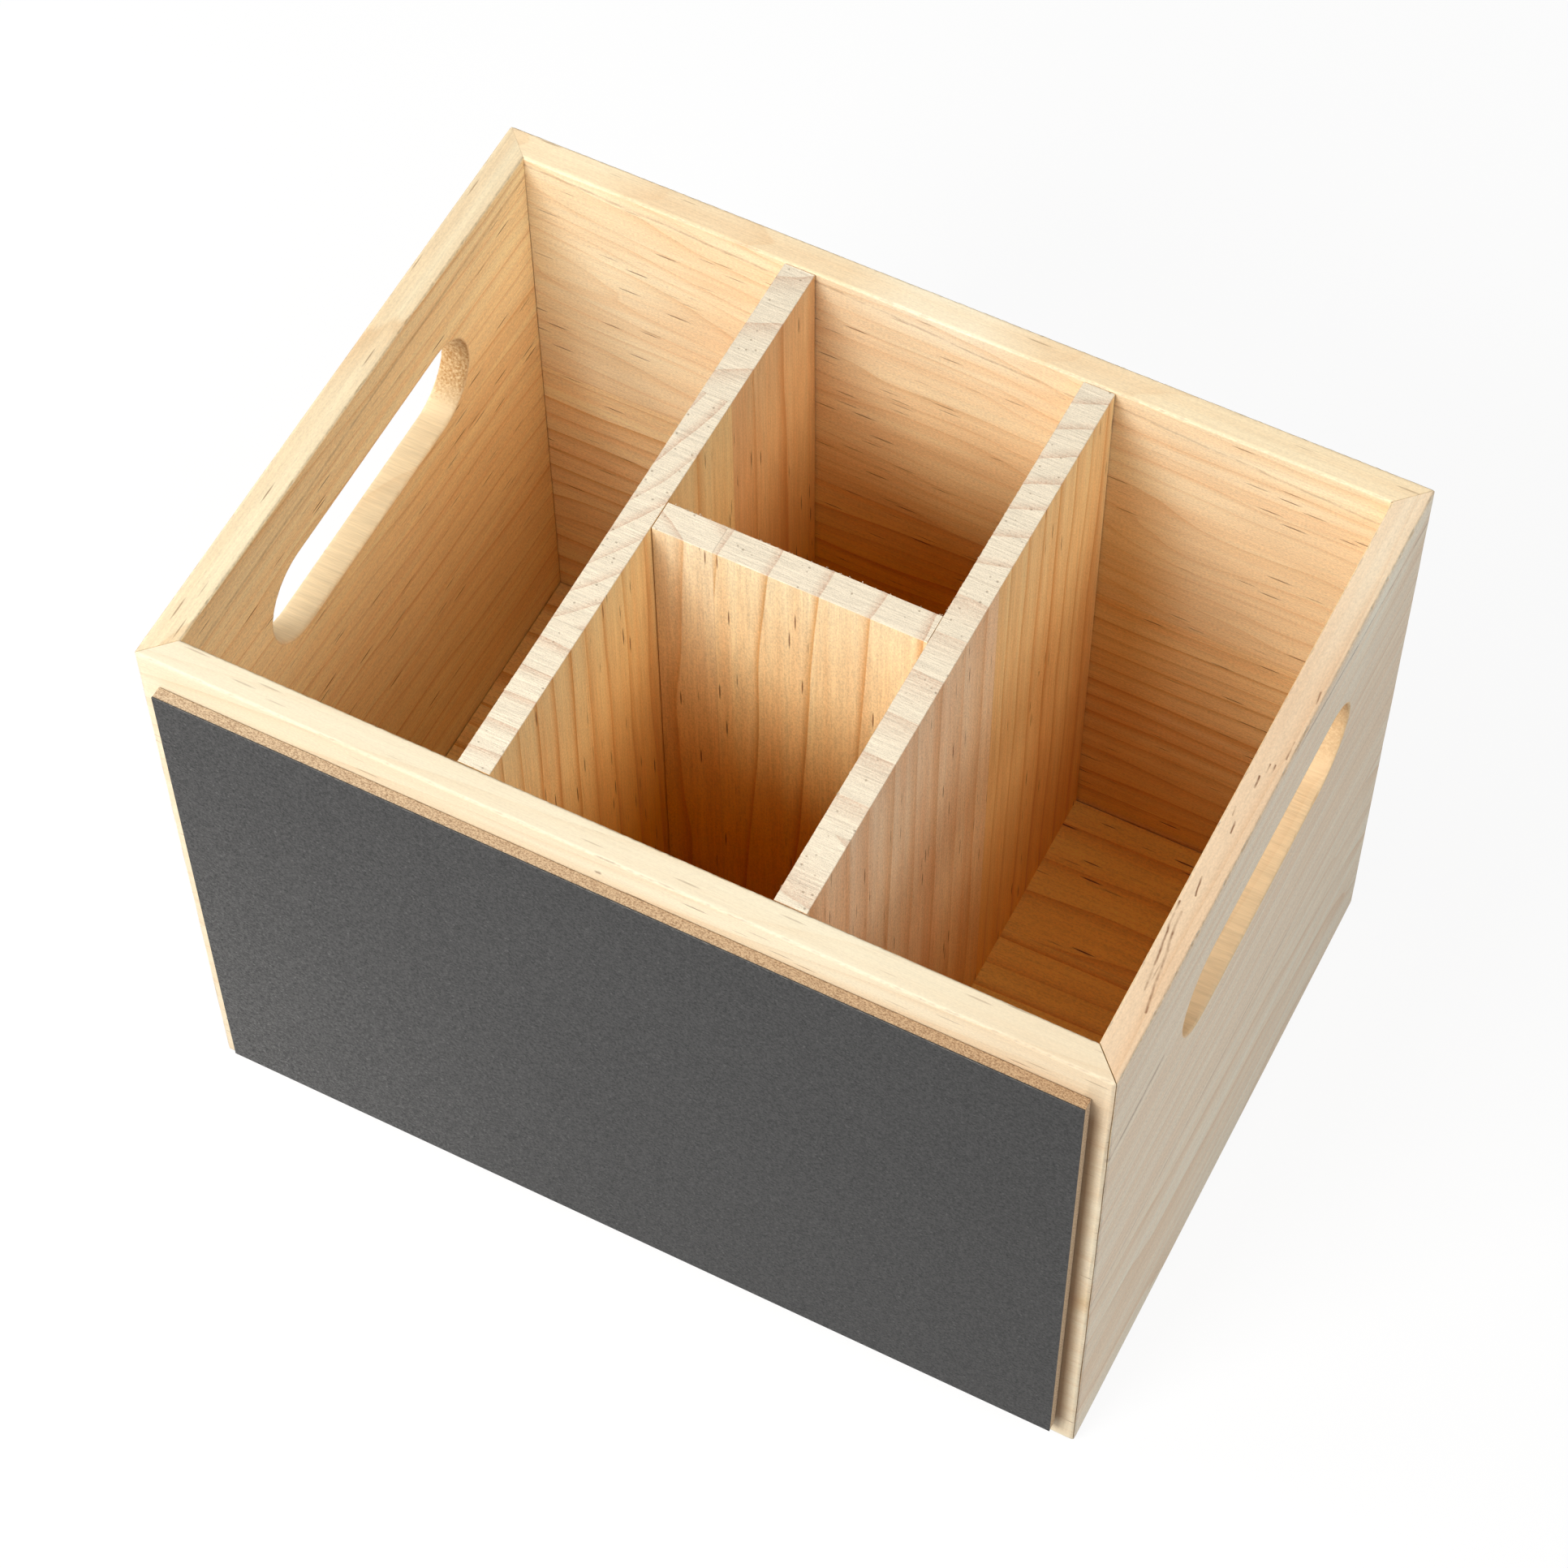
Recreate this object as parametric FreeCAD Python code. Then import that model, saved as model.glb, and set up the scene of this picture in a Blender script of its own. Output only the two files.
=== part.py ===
import FreeCAD, Part
import os

# Desktop utensil caddy: a mitred pine box with four bays, grip slots in both end walls
# and a chalkboard glued to its front. Millimetres. X runs along the front, Y towards the
# back and Z up. The origin is the centre of the wooden box's foot.

# Box, outside, without the chalkboard
box_width = 250.0
box_depth = 179.0
box_height = 191.0

# Boards
wall_thickness = 8.0
base_thickness = 8.0
divider_thickness = 8.3

# Bays: the two end bays share what the middle one leaves, as its front and back halves do
middle_bay_width = 72.5
middle_bay_shift = 0.9        # middle bay to the right of the box's centre
cross_divider_shift = 0.3     # cross divider behind the box's centre
divider_drop = 0.3            # divider tops below the rim

# Grip slots
slot_length = 95.5
slot_height = 29.0
slot_below_rim = 25.8

# Chalkboard, measured from the edges of the front wall
panel_side_margin = 5.5
panel_top_margin = 10.3
panel_bottom_margin = 9.6
core_thickness = 3.0
face_thickness = 0.4
adhesive_thickness = 0.2
adhesive_inset = 3.0          # the adhesive stops short of the panel's edges

# Edge finish
foot_radius = 3.0             # outer bottom arris, sanded round
rim_radius = 0.5              # rim, inside and outside
corner_radius = 0.8           # outer vertical corners
slot_edge_radius = 0.4        # both mouths of a grip slot
base_edge_radius = 0.3        # upper arris of the base board

# Derived places
front_face_y = -box_depth / 2
inner_left_x = -box_width / 2 + wall_thickness
inner_right_x = box_width / 2 - wall_thickness
inner_front_y = front_face_y + wall_thickness
inner_back_y = box_depth / 2 - wall_thickness
divider_top_z = box_height - divider_drop
right_divider_x = middle_bay_shift + middle_bay_width / 2
left_divider_x = right_divider_x - middle_bay_width - divider_thickness
cross_divider_y = cross_divider_shift - divider_thickness / 2

up = FreeCAD.Vector(0, 0, 1)
touch = 0.001                 # margin for picking edges by their place


def point(x, y, z):
    return FreeCAD.Vector(x, y, z)


def block(low, high):
    size = point(*high) - point(*low)
    return Part.makeBox(size.x, size.y, size.z, point(*low))


def face_from(edges):
    return Part.Face(Part.Wire(edges))


def rounded_corner(start, corner, end):
    """Quarter arc from start to end that rounds off the square corner between them."""
    centre = start + end - corner
    radius = (start - centre).Length
    middle = centre + (corner - centre).normalize() * radius
    return Part.Arc(start, middle, end).toShape()


def rounded_outline(outline):
    """Flat face through (corner, radius) pairs, each corner square before it is rounded."""
    corners = [corner for corner, radius in outline]
    arc_ends = []
    for index, (corner, radius) in enumerate(outline):
        before = corners[index - 1]
        after = corners[(index + 1) % len(corners)]
        arc_start = corner + (before - corner).normalize() * radius
        arc_end = corner + (after - corner).normalize() * radius
        arc_ends.append((arc_start, arc_end))
    edges = []
    for index, (corner, radius) in enumerate(outline):
        arc_start, arc_end = arc_ends[index]
        previous_end = arc_ends[index - 1][1]
        edges.append(Part.makeLine(previous_end, arc_start))
        if radius > 0:
            edges.append(rounded_corner(arc_start, corner, arc_end))
    return face_from(edges)


def edges_inside(shape, low, high):
    region = FreeCAD.BoundBox(*low, *high)
    region.enlarge(touch)
    return [edge for edge in shape.Edges if region.isInside(edge.BoundBox)]


def box_envelope():
    """Upright prism of the box's plan, with its four vertical corners rounded."""
    half_width = box_width / 2
    half_depth = box_depth / 2
    plan = [
        (point(-half_width, -half_depth, 0), corner_radius),
        (point(half_width, -half_depth, 0), corner_radius),
        (point(half_width, half_depth, 0), corner_radius),
        (point(-half_width, half_depth, 0), corner_radius),
    ]
    return rounded_outline(plan).extrude(up * box_height)


def mitred_board(length):
    """Wall board along X, outer face at y = 0 towards -Y, both ends cut at 45 degrees."""
    half_length = length / 2
    profile = rounded_outline([
        (point(-half_length, 0, 0), foot_radius),
        (point(-half_length, wall_thickness, 0), 0),
        (point(-half_length, wall_thickness, box_height), rim_radius),
        (point(-half_length, 0, box_height), rim_radius),
    ])
    blank = profile.extrude(point(length, 0, 0))
    trapezoid = Part.makePolygon([
        point(-half_length, 0, 0),
        point(half_length, 0, 0),
        point(half_length - wall_thickness, wall_thickness, 0),
        point(wall_thickness - half_length, wall_thickness, 0),
        point(-half_length, 0, 0),
    ])
    return blank.common(Part.Face(trapezoid).extrude(up * box_height))


def cut_grip_slot(board):
    """Round-ended slot across a mitred board, with its two mouths eased."""
    radius = slot_height / 2
    half_straight = slot_length / 2 - radius
    slot_top = box_height - slot_below_rim
    slot_bottom = slot_top - slot_height
    slot_middle = slot_top - radius
    lower = Part.makeLine(point(-half_straight, 0, slot_bottom), point(half_straight, 0, slot_bottom))
    upper = Part.makeLine(point(half_straight, 0, slot_top), point(-half_straight, 0, slot_top))
    right_end = Part.Arc(
        point(half_straight, 0, slot_bottom),
        point(half_straight + radius, 0, slot_middle),
        point(half_straight, 0, slot_top),
    ).toShape()
    left_end = Part.Arc(
        point(-half_straight, 0, slot_top),
        point(-half_straight - radius, 0, slot_middle),
        point(-half_straight, 0, slot_bottom),
    ).toShape()
    cutter = face_from([lower, right_end, upper, left_end]).extrude(point(0, wall_thickness, 0))
    slotted = board.cut(cutter)
    around_slot = edges_inside(
        slotted,
        (-slot_length / 2, 0, slot_bottom),
        (slot_length / 2, wall_thickness, slot_top),
    )
    mouths = [edge for edge in around_slot if edge.BoundBox.YLength < touch]
    return slotted.makeFillet(slot_edge_radius, mouths)


def placed_wall(board, turn_degrees, x, y):
    """Turn a board about Z from facing the front, set its outer face and round its corners."""
    placed = board.copy()
    placed.rotate(point(0, 0, 0), up, turn_degrees)
    placed.translate(point(x, y, 0))
    return placed.common(box_envelope())


def make_front_wall():
    return placed_wall(mitred_board(box_width), 0, 0, front_face_y)


def make_back_wall():
    return placed_wall(mitred_board(box_width), 180, 0, -front_face_y)


def make_left_wall():
    return placed_wall(cut_grip_slot(mitred_board(box_depth)), -90, -box_width / 2, 0)


def make_right_wall():
    return placed_wall(cut_grip_slot(mitred_board(box_depth)), 90, box_width / 2, 0)


def make_base_board():
    """Floor of all four bays, set between the walls and flush with their feet."""
    board = block((inner_left_x, inner_front_y, 0), (inner_right_x, inner_back_y, base_thickness))
    upper_arris = edges_inside(
        board,
        (inner_left_x, inner_front_y, base_thickness),
        (inner_right_x, inner_back_y, base_thickness),
    )
    return board.makeFillet(base_edge_radius, upper_arris)


def make_side_divider(left_x):
    """Board from front wall to back wall, standing on the base."""
    return block(
        (left_x, inner_front_y, base_thickness),
        (left_x + divider_thickness, inner_back_y, divider_top_z),
    )


def make_cross_divider():
    """Board between the two side dividers, splitting the middle bay in two."""
    return block(
        (left_divider_x + divider_thickness, cross_divider_y, base_thickness),
        (right_divider_x, cross_divider_y + divider_thickness, divider_top_z),
    )


def panel_layer(back_y, thickness, inset):
    """Flat layer of the chalkboard; back_y is its rear face and inset shortens every side."""
    half_width = box_width / 2 - panel_side_margin - inset
    return block(
        (-half_width, back_y - thickness, panel_bottom_margin + inset),
        (half_width, back_y, box_height - panel_top_margin - inset),
    )


def make_chalkboard():
    """Adhesive film, fibreboard core and writing face, from the front wall outwards."""
    core_back_y = front_face_y - adhesive_thickness
    face_back_y = core_back_y - core_thickness
    return {
        "chalkboard_adhesive": panel_layer(front_face_y, adhesive_thickness, adhesive_inset),
        "chalkboard_core": panel_layer(core_back_y, core_thickness, 0),
        "chalkboard_face": panel_layer(face_back_y, face_thickness, 0),
    }


def main():
    nodes = {
        "front_wall": make_front_wall(),
        "back_wall": make_back_wall(),
        "left_wall": make_left_wall(),
        "right_wall": make_right_wall(),
        "base_board": make_base_board(),
        "left_divider": make_side_divider(left_divider_x),
        "right_divider": make_side_divider(right_divider_x),
        "cross_divider": make_cross_divider(),
    }
    nodes.update(make_chalkboard())
    os.makedirs("parts", exist_ok=True)
    for name, shape in nodes.items():
        (solid,) = shape.Solids
        solid.exportStep("parts/" + name + ".step")
        print(name, round(solid.Volume), "mm3")


main()
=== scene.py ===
import bpy
import bmesh
import math
import numpy
from mathutils import Vector, Matrix, noise


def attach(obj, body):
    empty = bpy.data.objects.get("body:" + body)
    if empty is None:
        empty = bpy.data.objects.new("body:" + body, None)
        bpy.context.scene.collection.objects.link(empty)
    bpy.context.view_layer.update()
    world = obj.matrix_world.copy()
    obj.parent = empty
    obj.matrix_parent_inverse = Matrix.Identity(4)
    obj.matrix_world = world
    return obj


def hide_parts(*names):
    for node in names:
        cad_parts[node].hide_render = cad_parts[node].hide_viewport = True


# A pine utensil caddy: mitred box, four bays, two grip slots, chalkboard on the front.
# Sizes below are in millimetres. The frame and every finished mesh are in metres.

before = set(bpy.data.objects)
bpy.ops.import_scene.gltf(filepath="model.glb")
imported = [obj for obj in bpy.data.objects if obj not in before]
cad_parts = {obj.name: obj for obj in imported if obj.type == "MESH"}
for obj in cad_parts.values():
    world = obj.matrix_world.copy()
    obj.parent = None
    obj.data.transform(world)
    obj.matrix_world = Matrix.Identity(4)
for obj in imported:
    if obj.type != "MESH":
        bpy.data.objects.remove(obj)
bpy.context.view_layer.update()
mm = 0.001
print("frame loaded:", len(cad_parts), "solids")

box = {
    "width": 250.0,
    "depth": 179.0,
    "height": 191.0,
    "wall": 8.0,
    "base": 8.0,
    "divider": 8.3,
    "dividerDrop": 0.3,  # divider tops below the rim
    "middleBay": 72.5,
    "middleShift": 0.9,  # middle bay to the right of the centre
    "crossShift": 0.3,  # cross divider behind the centre
}
innerX = box["width"] / 2 - box["wall"]  # inner faces of the walls
innerY = box["depth"] / 2 - box["wall"]
dividerTop = box["height"] - box["dividerDrop"]
rightDividerX = box["middleShift"] + box["middleBay"] / 2  # left face of each divider
leftDividerX = rightDividerX - box["middleBay"] - box["divider"]
crossDividerY = box["crossShift"] - box["divider"] / 2  # its front face
crossBackY = crossDividerY + box["divider"]


def hexColor(text):
    # sRGB hex to linear RGBA
    channels = [int(text[i:i + 2], 16) / 255 for i in (1, 3, 5)]
    linear = [c / 12.92 if c <= 0.04045 else ((c + 0.055) / 1.055) ** 2.4 for c in channels]
    return (*linear, 1.0)


def addNode(tree, kind, links=None, **settings):
    # adds one node; links holds values, sockets, or nodes whose first output is meant
    node = tree.nodes.new(kind)
    for name, value in settings.items():
        setattr(node, name, value)
    for key, value in (links or {}).items():
        socket = node.inputs[key]
        if isinstance(value, bpy.types.Node):
            tree.links.new(value.outputs[0], socket)
        elif isinstance(value, bpy.types.NodeSocket):
            tree.links.new(value, socket)
        else:
            socket.default_value = value
    return node


def newMaterial(name):
    material = bpy.data.materials.new(name)
    material.use_nodes = True
    material.node_tree.nodes.clear()
    return material, material.node_tree


view = {
    "place": (267.763, -512.870, 1009.682),  # above the right front corner
    "aim": (-3.045, 0.473, 95.0),
    "roll": -0.7216,  # degrees
    "lens": 98.475,
    "frameWidth": 36.0,
}


def lookingAt(place, aim):
    return (Vector(aim) - Vector(place)).to_track_quat("-Z", "Y").to_matrix().to_4x4()


def placeCamera():
    data = bpy.data.cameras.new("camera")
    data.lens = view["lens"]
    data.sensor_width = view["frameWidth"]
    data.clip_end = 20
    camera = bpy.data.objects.new("camera", data)
    roll = Matrix.Rotation(math.radians(view["roll"]), 4, "Z")
    camera.matrix_world = (Matrix.Translation(Vector(view["place"]) * mm)
                           @ lookingAt(view["place"], view["aim"]) @ roll)
    bpy.context.scene.collection.objects.link(camera)
    bpy.context.scene.camera = camera


studio = {
    "keyPlace": (-330, -1050, 1000),  # in front of the caddy, to the left
    "keySize": 580,
    "keyPower": 16.0,
    "fillPlace": (900, -200, 1180),  # high on the right
    "fillSize": 900,
    "fillPower": 8.8,
    "sidePlace": (-950, -250, 470),  # on the left, to shine through the grip slot
    "sideSize": 700,
    "sidePower": 7.6,
    "skyLevel": 0.14,  # world light
    "floorColor": "#FBFBFA",
    "floorBounce": "#C8C8C7",  # the grey that the floor throws back onto the wood
    "floorWhite": 0.9,  # share of plain white that the camera sees in the floor
    "floorSize": 3500,
    "floorDrop": 0.1,  # keeps the floor off the caddy's foot
}


def addSoftbox(name):
    data = bpy.data.lights.new(name + "Softbox", "AREA")
    data.shape = "SQUARE"
    data.size = studio[name + "Size"] * mm
    data.energy = studio[name + "Power"]
    place = studio[name + "Place"]
    lamp = bpy.data.objects.new(name + "Softbox", data)
    lamp.matrix_world = Matrix.Translation(Vector(place) * mm) @ lookingAt(place, (0, 0, 95))
    bpy.context.scene.collection.objects.link(lamp)


def seenDirectly(tree):
    # 1 for camera, mirror and glass rays
    path = addNode(tree, "ShaderNodeLightPath").outputs
    either = addNode(tree, "ShaderNodeMath",
                     {0: path["Is Camera Ray"], 1: path["Is Glossy Ray"]}, operation="MAXIMUM")
    return addNode(tree, "ShaderNodeMath", {0: either, 1: path["Is Transmission Ray"]},
                   operation="MAXIMUM")


def lightStudio():
    for name in ("key", "fill", "side"):
        addSoftbox(name)
    world = bpy.data.worlds.new("softRoom")
    bpy.context.scene.world = world
    world.use_nodes = True
    tree = world.node_tree
    tree.nodes.clear()
    room = addNode(tree, "ShaderNodeBackground",
                   {"Color": (1, 1, 1, 1), "Strength": studio["skyLevel"]})
    white = addNode(tree, "ShaderNodeBackground", {"Color": (1, 1, 1, 1), "Strength": 1.0})
    both = addNode(tree, "ShaderNodeMixShader", {0: seenDirectly(tree), 1: room, 2: white})
    addNode(tree, "ShaderNodeOutputWorld", {"Surface": both})
    bpy.context.scene.view_settings.view_transform = "Standard"


def floorPaint():
    # matt painted studio floor, rolled: an even white that still takes a soft shadow
    material, tree = newMaterial("mattFloorPaint")
    seen = seenDirectly(tree)
    color = addNode(tree, "ShaderNodeMix", {0: seen, 6: hexColor(studio["floorBounce"]),
                                            7: hexColor(studio["floorColor"])},
                    data_type="RGBA")
    paint = addNode(tree, "ShaderNodeBsdfDiffuse", {"Color": color.outputs[2]})
    white = addNode(tree, "ShaderNodeEmission", {"Color": (1, 1, 1, 1), "Strength": 1.0})
    share = addNode(tree, "ShaderNodeMath", {0: seen, 1: studio["floorWhite"]},
                    operation="MULTIPLY")
    both = addNode(tree, "ShaderNodeMixShader", {0: share, 1: paint, 2: white})
    addNode(tree, "ShaderNodeOutputMaterial", {"Surface": both})
    return material


def layFloor():
    shape = bmesh.new()
    bmesh.ops.create_grid(shape, x_segments=4, y_segments=4, size=studio["floorSize"] * mm,
                          matrix=Matrix.Translation((0, 0, -studio["floorDrop"] * mm)))
    mesh = bpy.data.meshes.new("studioFloor")
    shape.to_mesh(mesh)
    shape.free()
    mesh.materials.append(floorPaint())
    floor = bpy.data.objects.new("studioFloor", mesh)
    bpy.context.scene.collection.objects.link(floor)


placeCamera()
lightStudio()
layFloor()
print("camera, softboxes and floor placed")


pine = {
    "pinkPatch": "#F8EDE6",   # multiplies the spring wood where it grew pinker
    "late": "#DFB98A",        # multiplies the spring wood in the dark side of each ring
    "amber": "#FFD872",       # painted shade: multiplies the wood deep in the bays
    # depth in mm at which that is complete: left bay, middle bays, right bay
    "amberReach": (380, 110, 200),
    "canal": "#70431F",       # resin canals
    "orangeStreak": (0.06, 0.2, 0.32),  # share of red, green and blue that it takes away
    "seam": "#B98A58",        # glue joint between two staves
    "sawnEarly": "#EFE0C6",
    "sawnLate": "#CFA788",
    "sawnPore": "#85694C",
    "torn": "#B58347",        # end grain torn by the router bit
    "fleck": "#F0D7A6",       # crushed fibre ends in the torn wood
    "roughness": 0.6,
    "ior": 1.5,
}

# single resin lines, cracks and pin knots: start, end, half width, strength
resinLines = [
    ((122.7, -70.4, 191), (119.3, -43.3, 191), 0.45, 1.0),
    ((120.2, -65.1, 191), (117.8, -40.9, 191), 0.4, 1.0),
    ((120.5, -38.0, 191), (119.6, -33.0, 191), 0.3, 0.9),
    ((120.7, -19.4, 191), (120.3, -16.2, 191), 0.3, 0.9),
    ((119.1, -15.0, 191), (118.9, -12.6, 191), 0.3, 0.7),
    ((120.4, -6.0, 191), (120.1, -2.8, 191), 0.34, 1.0),
    ((121.2, -1.2, 191), (121.0, 1.2, 191), 0.3, 0.9),
    ((122.4, -0.9, 191), (122.2, 1.6, 191), 0.3, 0.9),
    ((124.0, 4.2, 191), (123.8, 9.2, 191), 0.3, 0.9),
    ((124.0, 21.0, 191), (123.8, 24.5, 191), 0.3, 0.7),
    ((-117, -81, 180.4), (-117, 82, 184.4), 0.9, 0.3),
    ((125, 8, 189.6), (125, 45, 184.5), 1.0, 0.5),
    ((125, 45, 184.5), (125, 89, 179.7), 0.8, 0.4),
    ((125, -89, 155), (125, -60, 155.6), 1.3, 0.5),
    ((125, -89.5, 79.6), (125, 30, 78.6), 0.7, 0.35),
    ((-117, 81.5, 188.6), (-44, 81.5, 184.6), 0.6, 0.35),
    ((-35, 81.5, 188.0), (37, 81.5, 182.5), 0.6, 0.35),
    ((45, 81.5, 186.0), (117, 81.5, 180.5), 0.6, 0.3),
    ((-3.6, -89.5, 184), (-3.0, -89.5, 184), 0.8, 0.8),
    ((-122.8, -89.5, 20.4), (-122.2, -89.5, 20.4), 0.7, 0.7),
]


def grainPattern(tree, fibre, perMm, **noiseSettings):
    # noise drawn out along the grain; perMm counts its cells in a mm across and along
    stretched = addNode(tree, "ShaderNodeVectorMath", {0: fibre, 1: perMm},
                        operation="MULTIPLY")
    return addNode(tree, "ShaderNodeTexNoise",
                   {"Vector": stretched, "Scale": 1.0, **noiseSettings})


def growthRings():
    # Rings of a log. Attribute "log" counts rings outwards from the pith, "fibre" is in mm
    # with z along the grain. Each ring darkens slowly outwards and ends at a crisp edge.
    tree = bpy.data.node_groups.new("growthRings", "ShaderNodeTree")
    for name in ("Late", "Edge"):
        tree.interface.new_socket(name, in_out="OUTPUT", socket_type="NodeSocketFloat")
    log, fibre, habit = (
        addNode(tree, "ShaderNodeAttribute", attribute_name=name).outputs["Vector"]
        for name in ("log", "fibre", "habit"))
    # habit: how dark the summer wood is, how far rings wander, where in a ring it starts
    dark, wander, begin = addNode(tree, "ShaderNodeSeparateXYZ", {0: habit}).outputs
    logX, logY, shift = addNode(tree, "ShaderNodeSeparateXYZ", {0: log}).outputs
    flat = addNode(tree, "ShaderNodeCombineXYZ", {0: logX, 1: logY})
    radius = addNode(tree, "ShaderNodeVectorMath", {0: flat}, operation="LENGTH")
    total = addNode(tree, "ShaderNodeMath", {0: radius.outputs["Value"], 1: shift},
                    operation="ADD")
    # slow bends 30 mm across and 90 mm long, then small ones 6 mm across and 40 mm long
    for perMm, amount in (((0.033, 0.033, 0.011), 2.0), ((0.16, 0.16, 0.025), 0.28)):
        bend = grainPattern(tree, fibre, perMm, Detail=1.0, Roughness=0.45)
        offset = addNode(tree, "ShaderNodeMath", {0: bend, 1: 0.5}, operation="SUBTRACT")
        offset = addNode(tree, "ShaderNodeMath", {0: offset, 1: wander}, operation="MULTIPLY")
        total = addNode(tree, "ShaderNodeMath", {0: offset, 1: amount, 2: total},
                        operation="MULTIPLY_ADD")
    phase = addNode(tree, "ShaderNodeMath", {0: total}, operation="FRACT")
    count = addNode(tree, "ShaderNodeMath", {0: total}, operation="FLOOR")
    year = addNode(tree, "ShaderNodeTexWhiteNoise", {"W": count}, noise_dimensions="1D")
    start = addNode(tree, "ShaderNodeMath", {0: year, 1: -0.12, 2: begin},
                    operation="MULTIPLY_ADD")
    rise = addNode(tree, "ShaderNodeMapRange", {"Value": phase, "From Min": start,
                                                "From Max": 1.0})
    rise = addNode(tree, "ShaderNodeMath", {0: rise, 1: 2.0}, operation="POWER")
    fall = addNode(tree, "ShaderNodeMapRange", {"Value": phase, "From Min": 0.98,
                                                "From Max": 1.0, "To Min": 1.0, "To Max": 0.0})
    late = addNode(tree, "ShaderNodeMath", {0: rise, 1: fall}, operation="MULTIPLY")
    strength = addNode(tree, "ShaderNodeMath", {0: year, 1: 0.6, 2: 0.9},
                       operation="MULTIPLY_ADD")
    late = addNode(tree, "ShaderNodeMath", {0: late, 1: strength}, operation="MULTIPLY")
    late = addNode(tree, "ShaderNodeMath", {0: late, 1: dark}, operation="MULTIPLY",
                   use_clamp=True)
    edge = addNode(tree, "ShaderNodeMapRange", {"Value": phase, "From Min": 0.94,
                                                "From Max": 0.98})
    edge = addNode(tree, "ShaderNodeMath", {0: edge, 1: fall}, operation="MULTIPLY")
    addNode(tree, "NodeGroupOutput", {"Late": late, "Edge": edge})
    return tree


rings = growthRings()


def resinMask(tree):
    # up to 1 in the single lines listed above, broken up along their length
    place = addNode(tree, "ShaderNodeTexCoord").outputs["Object"]
    wander = 0.8 * mm  # furthest that a line strays, in bends 11 mm long
    wobble = addNode(tree, "ShaderNodeTexNoise", {"Vector": place, "Scale": 90.0,
                                                  "Detail": 3.0})
    wobble = addNode(tree, "ShaderNodeVectorMath",
                     {0: wobble.outputs["Color"], 1: (2 * wander,) * 3, 2: place},
                     operation="MULTIPLY_ADD")
    place = addNode(tree, "ShaderNodeVectorMath", {0: wobble, 1: (wander,) * 3},
                    operation="SUBTRACT")
    mask = None
    for start, end, halfWidth, strength in resinLines:
        run = (Vector(end) - Vector(start)) * mm
        fromStart = addNode(tree, "ShaderNodeVectorMath",
                            {0: place, 1: Vector(start) * mm}, operation="SUBTRACT")
        along = addNode(tree, "ShaderNodeVectorMath",
                        {0: fromStart, 1: run / run.length_squared}, operation="DOT_PRODUCT")
        along = addNode(tree, "ShaderNodeMath", {0: along.outputs["Value"], 1: 1.0},
                        operation="MULTIPLY", use_clamp=True)
        nearest = addNode(tree, "ShaderNodeVectorMath", {0: run, "Scale": along},
                          operation="SCALE")
        away = addNode(tree, "ShaderNodeVectorMath", {0: fromStart, 1: nearest},
                       operation="DISTANCE")
        line = addNode(tree, "ShaderNodeMapRange",
                       {"Value": away.outputs["Value"], "From Min": 0.2 * halfWidth * mm,
                        "From Max": halfWidth * mm, "To Min": strength, "To Max": 0.0})
        mask = line if mask is None else addNode(tree, "ShaderNodeMath",
                                                 {0: mask, 1: line}, operation="MAXIMUM")
    # stretches 4 mm long of strong and faint line
    broken = addNode(tree, "ShaderNodeTexNoise", {"Vector": place, "Scale": 260.0,
                                                  "Detail": 2.0})
    broken = addNode(tree, "ShaderNodeMapRange", {"Value": broken, "From Min": 0.35,
                                                  "From Max": 0.55, "To Min": 0.35})
    return addNode(tree, "ShaderNodeMath", {0: mask, 1: broken}, operation="MULTIPLY")


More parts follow.
